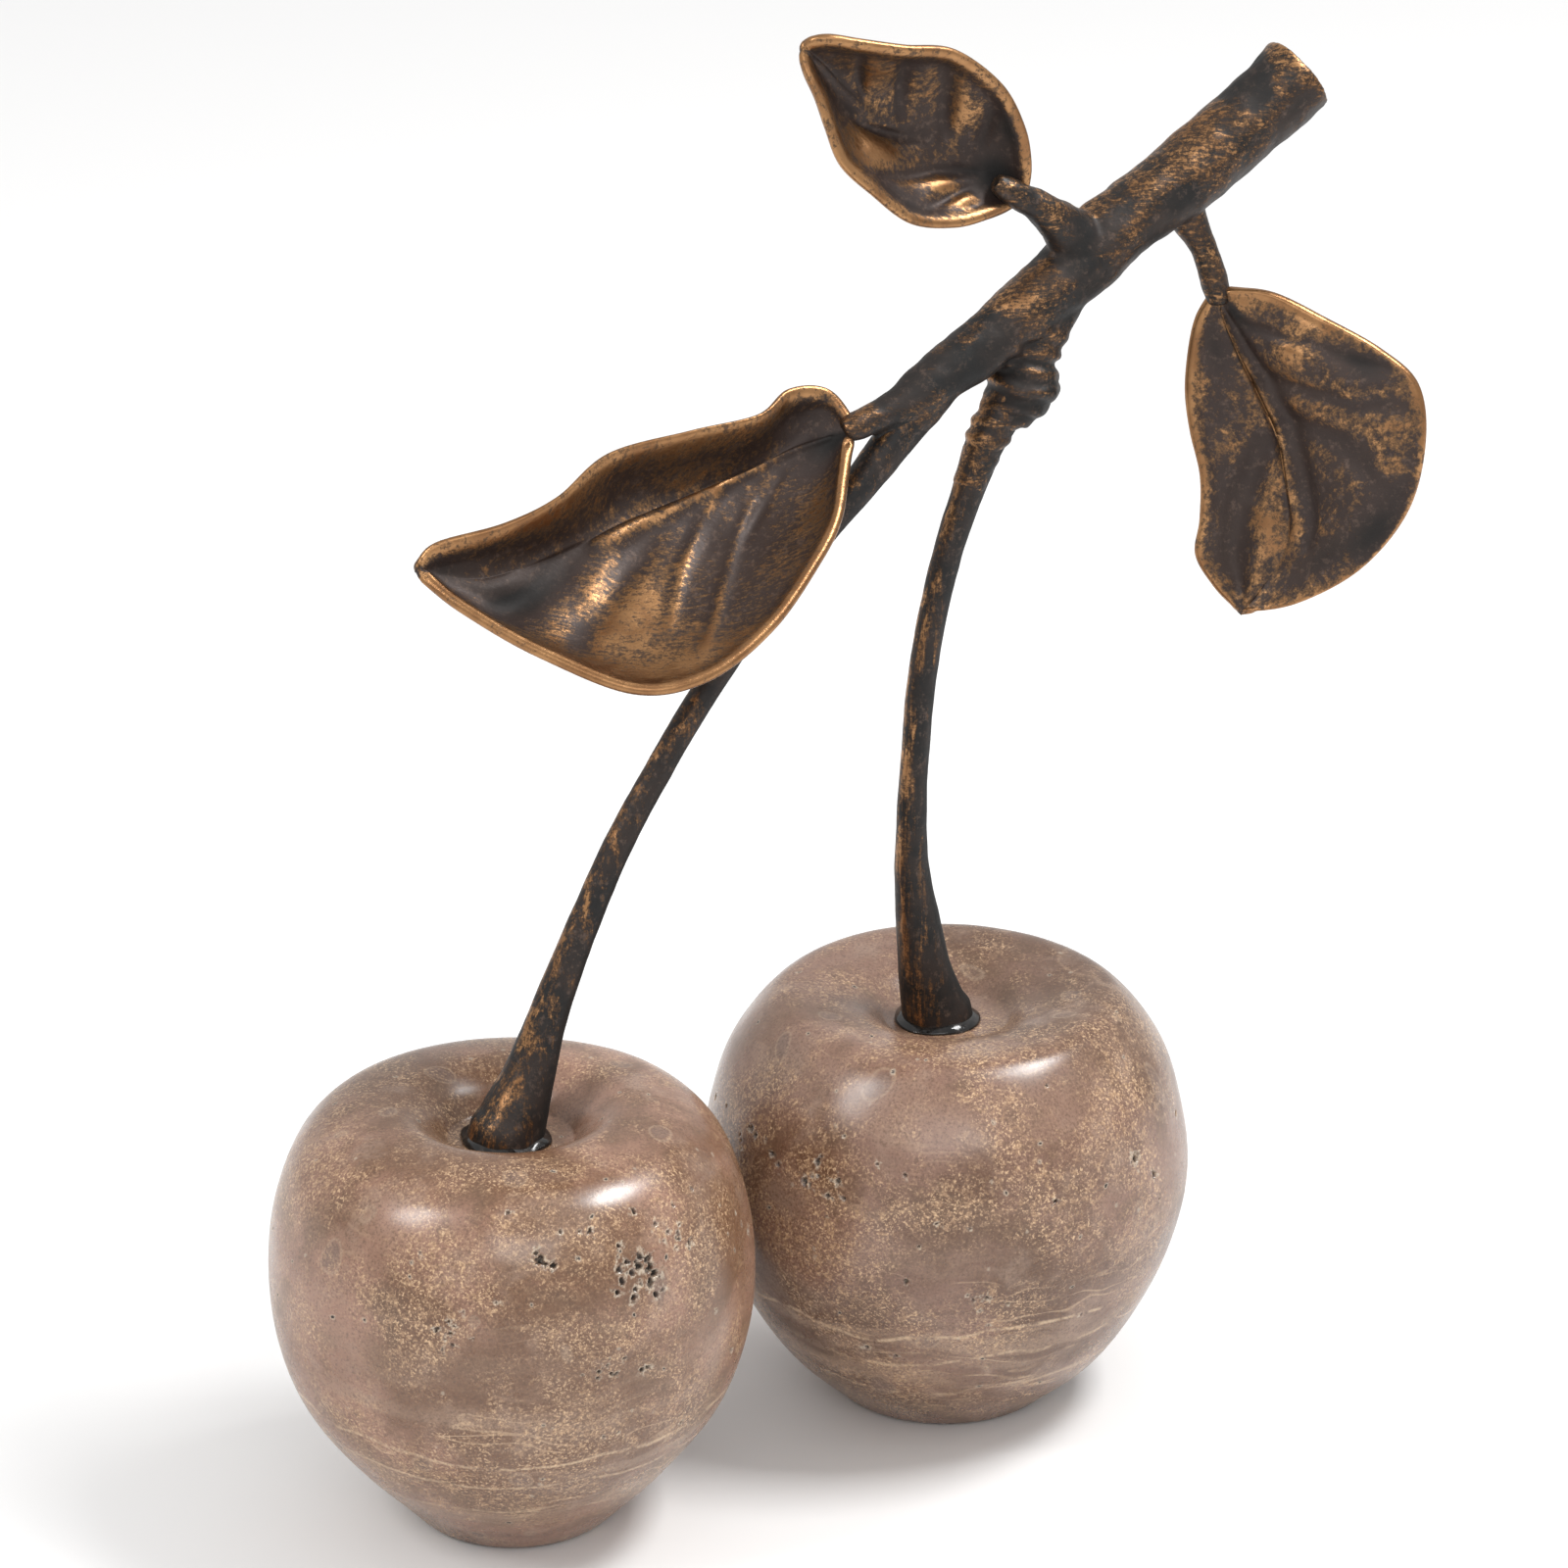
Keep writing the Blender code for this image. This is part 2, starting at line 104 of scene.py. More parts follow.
def put(tree, kind, sockets=(), **settings):
    """A new node with its settings, each socket given a value or a link."""
    node = tree.nodes.new(kind)
    for name, value in settings.items():
        setattr(node, name, value)
    for key, value in dict(sockets).items():
        if isinstance(value, bpy.types.NodeSocket):
            tree.links.new(value, node.inputs[key])
        else:
            node.inputs[key].default_value = value
    return node


def reckon(tree, operation, first, second=0.5, third=0.5):
    return put(tree, "ShaderNodeMath", {0: first, 1: second, 2: third}, operation=operation).outputs[0]


def new_shaping_tree(name, sizes):
    """A Geometry Nodes tree with named number inputs and a material, and its input and output nodes."""
    tree = bpy.data.node_groups.new(name, "GeometryNodeTree")
    tree.interface.new_socket("Geometry", in_out="INPUT", socket_type="NodeSocketGeometry")
    for label, kind in sizes.items():
        tree.interface.new_socket(label, in_out="INPUT", socket_type=kind)
    tree.interface.new_socket("Material", in_out="INPUT", socket_type="NodeSocketMaterial")
    tree.interface.new_socket("Geometry", in_out="OUTPUT", socket_type="NodeSocketGeometry")
    return tree, put(tree, "NodeGroupInput"), put(tree, "NodeGroupOutput")


def close_tree(tree, given, result, geometry):
    """Ends a tree: smooth shading, real geometry, material."""
    smoothed = put(tree, "GeometryNodeSetShadeSmooth", {"Geometry": geometry})
    real = put(tree, "GeometryNodeRealizeInstances", {"Geometry": smoothed.outputs[0]})
    dressed = put(tree, "GeometryNodeSetMaterial", {"Geometry": real.outputs[0], "Material": given.outputs["Material"]})
    tree.links.new(dressed.outputs[0], result.inputs[0])


def shaped(name, start_mesh, tree, values):
    """The plain mesh object that a shaping tree makes of a start mesh."""
    source = bpy.data.objects.new(name + "_start", start_mesh)
    bpy.context.scene.collection.objects.link(source)
    modifier = source.modifiers.new("shaping", "NODES")
    modifier.node_group = tree
    sockets = {s.name: s.identifier for s in tree.interface.items_tree if s.in_out == "INPUT"}
    for label, value in values.items():
        modifier[sockets[label]] = value
    source.update_tag()
    bpy.context.view_layer.update()
    evaluated = source.evaluated_get(bpy.context.evaluated_depsgraph_get())
    mesh = bpy.data.meshes.new_from_object(evaluated)
    mesh.name = name
    bpy.data.objects.remove(source)
    piece = bpy.data.objects.new(name, mesh)
    bpy.context.scene.collection.objects.link(piece)
    return piece


def line_mesh(name, points, attributes=(), breaks=()):
    """Points in metres joined by edges, with number attributes; a break starts a new line."""
    mesh = bpy.data.meshes.new(name)
    edges = [(i, i + 1) for i in range(len(points) - 1) if i + 1 not in breaks]
    mesh.from_pydata([tuple(p) for p in points], edges, [])
    for label, numbers in dict(attributes).items():
        mesh.attributes.new(label, "FLOAT", "POINT").data.foreach_set("value", np.array(numbers, np.float32))
    return mesh


def points_of(piece):
    places = np.empty(len(piece.data.vertices) * 3)
    piece.data.vertices.foreach_get("co", places)
    return places.reshape(-1, 3)


def normals_of(piece):
    normals = np.empty(len(piece.data.vertices) * 3)
    piece.data.vertex_normals.foreach_get("vector", normals)
    return normals.reshape(-1, 3)


def note(piece, label, numbers):
    """Keeps one number for each vertex, for the material to read."""
    data = piece.data.attributes.get(label) or piece.data.attributes.new(label, "FLOAT", "POINT")
    data.data.foreach_set("value", np.array(numbers, np.float32))


def step_up(low, high, numbers):
    t = np.clip((numbers - low) / (high - low), 0, 1)
    return t * t * (3 - 2 * t)


def rumple(points, size, seed):
    """Soft noise from about -1 to 1 at points in metres, with lumps of about size metres."""
    shift = Vector((seed * 3.7, seed * 1.3, seed * 2.1))
    return np.array([noise.noise(Vector(p) / size + shift) for p in points]) * 1.8


stone_tree, given, result = new_shaping_tree("turned_stone", {
    "Sides": "NodeSocketInt", "Axis": "NodeSocketVector", "Carving": "NodeSocketFloat",
    "Carving size": "NodeSocketFloat", "Seed": "NodeSocketFloat",
})
rows = put(stone_tree, "GeometryNodeAttributeDomainSize", {"Geometry": given.outputs["Geometry"]}).outputs["Point Count"]
columns = reckon(stone_tree, "ADD", given.outputs["Sides"], 1.0)
sheet = put(stone_tree, "GeometryNodeMeshGrid", {
    "Size X": 1.0, "Size Y": 1.0, "Vertices X": columns, "Vertices Y": rows,
})
spot = put(stone_tree, "ShaderNodeSeparateXYZ", {0: put(stone_tree, "GeometryNodeInputPosition").outputs[0]})
turn = reckon(stone_tree, "MULTIPLY", spot.outputs["X"], 2 * math.pi)
row = reckon(stone_tree, "ROUND", reckon(
    stone_tree, "MULTIPLY", reckon(stone_tree, "ADD", spot.outputs["Y"], 0.5), reckon(stone_tree, "SUBTRACT", rows, 1.0)))


def of_row(value, kind):
    return put(stone_tree, "GeometryNodeSampleIndex", {
        "Geometry": given.outputs["Geometry"], "Value": value, "Index": row,
    }, data_type=kind, domain="POINT").outputs[0]


outline_spot = put(stone_tree, "ShaderNodeSeparateXYZ", {
    0: of_row(put(stone_tree, "GeometryNodeInputPosition").outputs[0], "FLOAT_VECTOR")})
turned_spot = put(stone_tree, "ShaderNodeCombineXYZ", {
    0: reckon(stone_tree, "MULTIPLY", outline_spot.outputs["X"], reckon(stone_tree, "COSINE", turn)),
    1: reckon(stone_tree, "MULTIPLY", outline_spot.outputs["X"], reckon(stone_tree, "SINE", turn)),
    2: outline_spot.outputs["Z"],
})
free_name = put(stone_tree, "GeometryNodeInputNamedAttribute", {"Name": "free"}, data_type="FLOAT").outputs[0]
kept = put(stone_tree, "GeometryNodeStoreNamedAttribute", {
    "Geometry": sheet.outputs["Mesh"], "Name": "free", "Value": of_row(free_name, "FLOAT"),
}, data_type="FLOAT", domain="POINT")
body = put(stone_tree, "GeometryNodeSetPosition", {"Geometry": kept.outputs[0], "Position": turned_spot.outputs[0]})
closed = put(stone_tree, "GeometryNodeMergeByDistance", {"Geometry": body.outputs[0], "Distance": 2e-6})
lumps = put(stone_tree, "ShaderNodeTexNoise", {
    "Scale": reckon(stone_tree, "DIVIDE", 1.0, given.outputs["Carving size"]), "Detail": 1.0, "W": given.outputs["Seed"],
}, noise_dimensions="4D").outputs[0]
push = reckon(stone_tree, "MULTIPLY", reckon(stone_tree, "MULTIPLY", reckon(
    stone_tree, "SUBTRACT", lumps, 0.5), given.outputs["Carving"]), free_name)
carved = put(stone_tree, "GeometryNodeSetPosition", {
    "Geometry": closed.outputs[0],
    "Offset": put(stone_tree, "ShaderNodeVectorMath", {
        0: put(stone_tree, "GeometryNodeInputNormal").outputs[0], "Scale": push}, operation="SCALE").outputs[0],
})
placed = put(stone_tree, "GeometryNodeTransform", {"Geometry": carved.outputs[0], "Translation": given.outputs["Axis"]})
close_tree(stone_tree, given, result, placed.outputs[0])


def facing_out(piece):
    """Turns the faces outwards."""
    cells = bmesh.new()
    cells.from_mesh(piece.data)
    bmesh.ops.recalc_face_normals(cells, faces=cells.faces)
    if cells.calc_volume(signed=True) < 0:
        bmesh.ops.reverse_faces(cells, faces=cells.faces)
    cells.to_mesh(piece.data)
    cells.free()


def hole_places(axis, outline, holes, spongy, seed, loose):
    """Hole rows as x, y, z, radius, depth in mm: named ones, spongy groups and a loose scatter all round."""
    rng = np.random.default_rng(seed)
    rows = [list(hole) for hole in holes]
    for turn_at, height, spread, count, size in spongy:
        for _ in range(count):
            across, up = rng.normal(0, spread, 2)
            radius = size * rng.uniform(0.55, 1.3)
            rows.append([turn_at + math.degrees(across / 47), height + 0.8 * up, radius, radius * rng.uniform(0.7, 1.3)])
    for _ in range(loose):
        centre_turn, centre_height = rng.uniform(70, 290), rng.uniform(22, 80)
        for _ in range(rng.integers(1, 5)):
            radius = rng.uniform(0.4, 0.95)
            rows.append([centre_turn + rng.normal(0, 5), centre_height + rng.normal(0, 3), radius, radius * rng.uniform(0.6, 1.2)])
    outer = even_rows(outline[1:10], 0.5)
    places = []
    for turn_at, height, radius, depth in rows:
        if not outer[0, 1] < height < outer[-1, 1] - 0.5:
            continue
        reach, angle = np.interp(height, outer[:, 1], outer[:, 0]), math.radians(turn_at)
        places.append((axis[0] + reach * math.sin(angle), axis[1] - reach * math.cos(angle), height, 0.78 * radius, depth))
    return np.array(places)


def open_holes(piece, places):
    """Fines the mesh round each hole, then sinks the holes and notes their pale rim and the painted shade of their dark
    inside.
    """
    centres = places[:, :3] * MM
    for reach in (1.7, 1.45):
        cells = bmesh.new()
        cells.from_mesh(piece.data)
        middles = np.array([face.calc_center_median() for face in cells.faces])
        near = np.zeros(len(middles), bool)
        for centre, radius in zip(centres, places[:, 3]):
            near |= np.linalg.norm(middles - centre, axis=1) < (radius * reach + 0.45) * MM
        edges = {edge for face, wanted in zip(cells.faces, near) if wanted for edge in face.edges}
        bmesh.ops.subdivide_edges(cells, edges=sorted(edges, key=lambda e: e.index), cuts=1, use_grid_fill=True)
        cells.to_mesh(piece.data)
        cells.free()
    points, normals = points_of(piece), normals_of(piece)
    sunk, rim = np.zeros(len(points)), np.zeros(len(points))
    inside = np.zeros(len(points))
    ragged = np.zeros(len(points))
    for centre, radius, _ in zip(centres, places[:, 3], places[:, 4]):
        near = np.where(np.linalg.norm(points - centre, axis=1) < radius * 2.6 * MM)[0]
        ragged[near] = 1
    chosen = np.where(ragged > 0)[0]
    ragged[chosen] = rumple(points[chosen], 0.9 * MM, 5) + 0.6 * rumple(points[chosen], 0.4 * MM, 9)
    for centre, radius, depth in zip(centres, places[:, 3], places[:, 4]):
        away = np.linalg.norm(points - centre, axis=1) / MM / radius
        near = np.where(away < 2.5)[0]
        reach = away[near] * (1 + 0.42 * ragged[near])
        hollow = 1 - step_up(0.35, 1.0, reach)
        sunk[near] = np.maximum(sunk[near], depth * hollow)
        # Painted shade: how dark the inside of each hole is painted.
        inside[near] = np.maximum(inside[near], (1 - step_up(0.5, 0.95, reach)) * min(1.0, 0.45 + 0.6 * depth))
        rim[near] = np.maximum(rim[near], step_up(0.7, 0.95, reach) * (1 - step_up(1.15, 1.7, reach)))
    points -= normals * (sunk * MM)[:, None]
    piece.data.vertices.foreach_set("co", points.ravel())
    piece.data.update()
    note(piece, "hollow", inside)
    note(piece, "crust", rim)


def paint(red, green, blue):
    """An everyday 0 to 255 colour as the linear one that shaders take."""
    return tuple(((c / 255 + 0.055) / 1.055) ** 2.4 if c > 10 else c / 3294.6 for c in (red, green, blue)) + (1.0,)


def new_finish(name):
    """A material with its tree, its surface shader and its coordinates on the object."""
    material = bpy.data.materials.new(name)
    material.use_nodes = True
    tree = material.node_tree
    return material, tree, tree.nodes["Principled BSDF"], put(tree, "ShaderNodeTexCoord").outputs["Object"]


def moved(tree, place, scale=(1, 1, 1), shift=(0, 0, 0), turn=(0, 0, 0)):
    return put(tree, "ShaderNodeMapping", {"Vector": place, "Location": shift, "Rotation": turn, "Scale": scale}).outputs[0]


def grain(tree, place, scale, detail=3.0, roughness=0.55, distortion=0.0):
    return put(tree, "ShaderNodeTexNoise", {
        "Vector": place, "Scale": scale, "Detail": detail, "Roughness": roughness, "Distortion": distortion}).outputs[0]


def span(tree, value, low, high, start=0.0, end=1.0):
    return put(tree, "ShaderNodeMapRange", {
        "Value": value, "From Min": low, "From Max": high, "To Min": start, "To Max": end},
        interpolation_type="SMOOTHSTEP").outputs[0]


def layer(tree, share, under, over, how="MIX"):
    return put(tree, "ShaderNodeMix", {0: share, 6: under, 7: over}, data_type="RGBA", blend_type=how).outputs[2]


def noted(tree, label):
    return put(tree, "ShaderNodeAttribute", attribute_name=label).outputs["Fac"]


def times(tree, *values):
    product = values[0]
    for value in values[1:]:
        product = reckon(tree, "MULTIPLY", product, value)
    return product


def travertine(name, haze, warm, shift):
    """Honed travertine: hazy pink-grey and warm brown clouds, cream crystals, bedding, fossils and holes."""
    material, tree, surface, place = new_finish(name)
    place = moved(tree, place, shift=shift)
    wander = put(tree, "ShaderNodeVectorMath", {
        0: place, 1: put(tree, "ShaderNodeVectorMath", {
            0: put(tree, "ShaderNodeTexNoise", {"Vector": place, "Scale": 40.0, "Detail": 2.0}).outputs[1],
            "Scale": 0.012}, operation="SCALE").outputs[0]}).outputs[0]
    clouds = grain(tree, wander, 26.0, 4.0, 0.6)
    patches = grain(tree, wander, 75.0, 5.0, 0.62)
    colour = layer(tree, span(tree, clouds, 0.40, 0.60), haze, warm)
    colour = layer(tree, times(tree, span(tree, patches, 0.50, 0.68), 0.6), colour, paint(98, 73, 54))
    colour = layer(tree, times(tree, span(tree, patches, 0.50, 0.30), 0.5), colour, paint(150, 126, 110))
    beds = grain(tree, moved(tree, wander, scale=(7, 7, 95)), 1.0, 4.0, 0.6)
    height = put(tree, "ShaderNodeSeparateXYZ", {0: place}).outputs["Z"]
    low_down = span(tree, height, 0.060 + shift[2], 0.030 + shift[2], 0.25, 1.0)
    colour = layer(tree, times(tree, span(tree, beds, 0.52, 0.62), low_down, 0.6), colour, paint(150, 124, 104))
    colour = layer(tree, times(tree, span(tree, beds, 0.48, 0.38), low_down, 0.6), colour, paint(104, 78, 63))
    seams = grain(tree, moved(tree, wander, scale=(9, 9, 60)), 1.0, 3.0, 0.6)
    thin = span(tree, reckon(tree, "ABSOLUTE", reckon(tree, "SUBTRACT", seams, 0.47)), 0.009, 0.0)
    broken = span(tree, grain(tree, place, 60.0, 2.0), 0.46, 0.60)
    colour = layer(tree, times(tree, thin, broken, low_down, 0.65), colour, paint(200, 170, 138))
    wavy = reckon(tree, "ADD", height, times(tree, reckon(tree, "SUBTRACT", grain(tree, place, 20.0, 3.0, 0.6), 0.5), 0.016))
    for level, strength in ((0.0340, 0.75), (0.0265, 0.6), (0.0160, 0.45)):
        seam = span(tree, reckon(tree, "ABSOLUTE", reckon(tree, "SUBTRACT", wavy, level)), 0.0007, 0.0001)
        ragged_seam = span(tree, grain(tree, place, 130.0, 4.0, 0.7), 0.40, 0.56)
        colour = layer(tree, times(tree, seam, ragged_seam, strength), colour, paint(206, 178, 146))
    # Fossil shells: ovals with a smooth grey-brown middle and a pale wall, here and there.
    cells = put(tree, "ShaderNodeTexVoronoi", {"Vector": moved(tree, wander, scale=(1, 1, 0.7)), "Scale": 105.0})
    rare = span(tree, put(tree, "ShaderNodeSeparateColor", {0: cells.outputs["Color"]}).outputs[0], 0.80, 0.82)
    wall = span(tree, reckon(tree, "ABSOLUTE", reckon(tree, "SUBTRACT", cells.outputs["Distance"], 0.27)), 0.045, 0.0)
    middle = span(tree, cells.outputs["Distance"], 0.26, 0.20)
    colour = layer(tree, times(tree, rare, middle, 0.6), colour, paint(112, 91, 81))
    colour = layer(tree, times(tree, rare, wall, 0.35), colour, paint(172, 150, 128))
    # Crystals: fine cream flecks in clouds, with darker grains between them.
    flecks = grain(tree, place, 1700.0, 3.0, 0.75, 0.3)
    coarse = grain(tree, place, 620.0, 5.0, 0.8, 0.3)
    where = span(tree, grain(tree, wander, 48.0, 6.0, 0.72), 0.42, 0.60, 0.10, 1.0)
    colour = layer(tree, times(tree, span(tree, coarse, 0.50, 0.60), where, 0.7), colour, paint(172, 138, 106))
    colour = layer(tree, times(tree, span(tree, flecks, 0.53, 0.64), where, 0.85), colour, paint(214, 180, 142))
    colour = layer(tree, times(tree, span(tree, flecks, 0.47, 0.38), 0.5), colour, paint(78, 56, 40))
    # Pin holes, too small to shape, and the shaped holes with their crust. The near-black inside every hole is painted
    # shade; the grey mixed into it is the stone.
    pins = put(tree, "ShaderNodeTexVoronoi", {"Vector": wander, "Scale": 230.0})
    pick = put(tree, "ShaderNodeSeparateColor", {0: pins.outputs["Color"]})
    some = span(tree, pick.outputs[1], 0.66, 0.68)
    ragged = reckon(tree, "ADD", pins.outputs["Distance"], times(tree, reckon(tree, "SUBTRACT", coarse, 0.5), 0.35))
    pin = times(tree, span(tree, ragged, 0.085, 0.055), some)
    pin_rim = times(tree, span(tree, ragged, 0.17, 0.09), some)
    crust = reckon(tree, "MAXIMUM", times(tree, pin_rim, 0.55), times(
        tree, noted(tree, "crust"), span(tree, coarse, 0.40, 0.58)))
    # Painted shade inside the pin holes and shaped holes.
    dark = reckon(tree, "MAXIMUM", pin, noted(tree, "hollow"))
    colour = layer(tree, times(tree, crust, 0.75), colour, paint(196, 182, 162))
    inside = layer(tree, span(tree, coarse, 0.50, 0.62), paint(44, 37, 33), paint(128, 116, 104))
    colour = layer(tree, dark, colour, inside)
    tree.links.new(colour, surface.inputs["Base Color"])
    gloss = span(tree, patches, 0.3, 0.7, 0.22, 0.32)
    tree.links.new(reckon(tree, "MAXIMUM", gloss, times(tree, dark, 0.8)), surface.inputs["Roughness"])
    surface.inputs["IOR"].default_value = 1.6
    relief = reckon(tree, "SUBTRACT", times(tree, flecks, 0.10), times(tree, pin, 1.0))
    tree.links.new(put(tree, "ShaderNodeBump", {"Strength": 0.35, "Distance": 0.0004, "Height": relief}).outputs[0],
                   surface.inputs["Normal"])
    return material


front_stone = travertine("travertine_front", paint(146, 110, 92), paint(106, 74, 52), (0.0, 0.0, 0.0))
rear_stone = travertine("travertine_rear", paint(128, 97, 82), paint(94, 64, 44), (0.31, 0.17, 0.0))
for name, outline, seat, finish, holes, spongy, seed in (
    ("cherry_front", FRONT_OUTLINE, 82.0, front_stone, FRONT_HOLES, FRONT_SPONGY, 11),
    ("cherry_rear", REAR_OUTLINE, 83.0, rear_stone, REAR_HOLES, REAR_SPONGY, 23),
):
    low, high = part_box(name)
    axis = (low + high) / 2
    outside = even_rows(outline[1:], ROW_STEP)
    flat = [(radius, 0.0) for radius in (0.0, 4.7, 9.4, 14.1, outline[0][0])]
    socket = [(8.0, seat), (BORE_RADIUS, seat), (BORE_RADIUS, seat - BORE_DEPTH / 2), (BORE_RADIUS, seat - BORE_DEPTH), (0.0, seat - BORE_DEPTH)]
    profile = np.vstack([flat, outside, socket])
    carve = step_up(0.5, 9.0, profile[:, 1]) * step_up(14.0, 20.0, profile[:, 0])
    carve[: len(flat)] = 0
    start = line_mesh(name + "_outline", [(r * MM, 0, z * MM) for r, z in profile], {"free": carve})
    stone = shaped(name, start, stone_tree, {
        "Sides": STONE_SIDES, "Axis": (axis.x, axis.y, 0.0), "Carving": 1.3 * MM, "Carving size": 38 * MM,
        "Seed": float(seed), "Material": finish,
    })
    stone.name = "stone_" + name
    facing_out(stone)
    open_holes(stone, hole_places((axis.x / MM, axis.y / MM), outline, holes, spongy, seed, 26))
    facing_out(stone)
    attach(stone, "root")
    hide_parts(name)

# ---------------------------------------------------------------- the steel studs
# A zinc-plated steel stud is glued half in each stone and half in the foot of its stalk.
# They are hidden when the object is put together, and stay as the model has them.


def zinc_steel():
    material, tree, surface, place = new_finish("zinc_steel")
    spangle = put(tree, "ShaderNodeTexVoronoi", {"Vector": place, "Scale": 900.0}).outputs["Color"]
    tone = put(tree, "ShaderNodeSeparateColor", {0: spangle}).outputs[0]
    tree.links.new(layer(tree, times(tree, tone, 0.5), paint(168, 170, 172), paint(208, 209, 205)), surface.inputs["Base Color"])
    surface.inputs["Metallic"].default_value = 1.0
    tree.links.new(span(tree, grain(tree, place, 700.0), 0.3, 0.7, 0.28, 0.5), surface.inputs["Roughness"])
    thread = put(tree, "ShaderNodeTexWave", {"Vector": place, "Scale": 320.0, "Distortion": 0.2}, bands_direction="Z").outputs[1]
    tree.links.new(put(tree, "ShaderNodeBump", {"Strength": 0.6, "Distance": 0.0004, "Height": thread}).outputs[0],
                   surface.inputs["Normal"])
    return material


steel = zinc_steel()
for node in ("anchor_stud_front", "anchor_stud_rear"):
    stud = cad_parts[node]
    stud.data.materials.clear()
    stud.data.materials.append(steel)

# ---------------------------------------------------------------- the stalks
# Two long stalks of cast bronze, swelling to a flared foot, darkened with a black patina
# and then rubbed back by hand, so that the metal shows in streaks down the left side. That left side faces the left
# light and gets more bare metal as painted light; the far side is painted near black as painted shade.

MIDDLE = np.array((23.5, 0.5, 0.0))
PLANE_TURN = math.radians(31.8)
FRONT_STALK = [  # along the branch plane, height, radius in mm
    (-52.6, 82.3, 7.7), (-50.2, 87.6, 6.7), (-47.2, 94.5, 5.3), (-43.1, 105.1, 4.1), (-39.1, 114.4, 3.6),
    (-34.2, 124.7, 3.2), (-25.7, 140.5, 2.9), (-17.7, 152.4, 2.8), (-8.7, 164.7, 2.8), (2.3, 178.0, 2.9),
    (11.7, 187.4, 3.0), (20.9, 196.3, 3.1), (30.4, 205.0, 3.6), (39.6, 214.0, 4.2), (45.6, 219.4, 4.4),
]
REAR_STALK = [
    (49.4, 83.3, 7.4), (47.9, 88.6, 6.4), (46.2, 95.5, 5.4), (44.6, 106.5, 4.5), (43.0, 119.0, 3.5),
    (43.0, 131.9, 3.0), (43.7, 143.9, 2.9), (45.0, 158.1, 2.9), (47.5, 172.2, 2.9), (51.1, 185.7, 3.0),
    (55.8, 198.0, 3.3), (60.2, 208.1, 4.0), (65.6, 216.0, 4.7),
]


def in_plane(rows):
    """Branch plane rows as x, y, z, radius about the object's middle, in mm."""
    rows = np.array(rows, float)
    spots = np.stack([rows[:, 0] * math.cos(PLANE_TURN), rows[:, 0] * math.sin(PLANE_TURN), rows[:, 1]], axis=1)
    return np.column_stack([spots - MIDDLE, rows[:, 2]])


def antiqued_bronze(name, dark, glow, brushed, brush_turn=(0, 0, 0)):
    """Bronze under a dark patina, rubbed back where the piece notes rubbing and painted light, blackened where it notes
    patina and painted shade, with grainy edges and fine scratches.
    """
    material, tree, surface, place = new_finish(name)
    fine = grain(tree, place, 1150.0, 4.0, 0.8)
    speck = grain(tree, place, 520.0, 4.0, 0.75)
    cloud = grain(tree, place, 110.0, 4.0, 0.6)
    brush = grain(tree, moved(tree, place, scale=brushed, turn=brush_turn), 1.0, 3.0, 0.7)
    # These notes mix real rubbing and patina with painted light on lit sides and painted shade on sides turned away.
    wear_and_painted_light, soot_and_painted_shade = noted(tree, "wear_and_painted_light"), noted(tree, "soot_and_painted_shade")
    ground = layer(tree, times(tree, span(tree, cloud, 0.35, 0.65), 0.5), dark, paint(60, 46, 39))
    ground = layer(tree, times(tree, span(tree, speck, 0.52, 0.7), 0.5), ground, paint(104, 84, 72))
    edge = reckon(tree, "ADD", reckon(tree, "ADD", wear_and_painted_light, times(tree, reckon(tree, "SUBTRACT", fine, 0.5), 1.6)), reckon(
        tree, "ADD", times(tree, reckon(tree, "SUBTRACT", brush, 0.5), 1.5), times(tree, reckon(tree, "SUBTRACT", cloud, 0.5), 0.25)))
    edge = reckon(tree, "SUBTRACT", edge, soot_and_painted_shade)
    thin_rub = span(tree, edge, 0.16, 0.42)
    bare = span(tree, edge, 0.42, 0.66)
    colour = layer(tree, times(tree, thin_rub, 0.85), ground, glow)
    metal = layer(tree, span(tree, cloud, 0.35, 0.65), paint(172, 130, 90), paint(140, 102, 70))
    colour = layer(tree, bare, colour, metal)
    colour = layer(tree, span(tree, soot_and_painted_shade, 0.15, 0.9), colour, paint(20, 18, 17))
    tree.links.new(colour, surface.inputs["Base Color"])
    tree.links.new(span(tree, edge, 0.0, 0.8, 0.35, 1.0), surface.inputs["Metallic"])
    shine = reckon(tree, "ADD", span(tree, edge, 0.1, 0.9, 0.46, 0.30), times(tree, reckon(tree, "SUBTRACT", fine, 0.5), 0.25))
    shine = reckon(tree, "ADD", shine, times(tree, soot_and_painted_shade, 0.28))
    tree.links.new(shine, surface.inputs["Roughness"])
    relief = reckon(tree, "ADD", times(tree, fine, 0.5), times(tree, brush, 0.6))
    tree.links.new(put(tree, "ShaderNodeBump", {"Strength": 0.35, "Distance": 0.0003, "Height": relief}).outputs[0],
                   surface.inputs["Normal"])
    return material


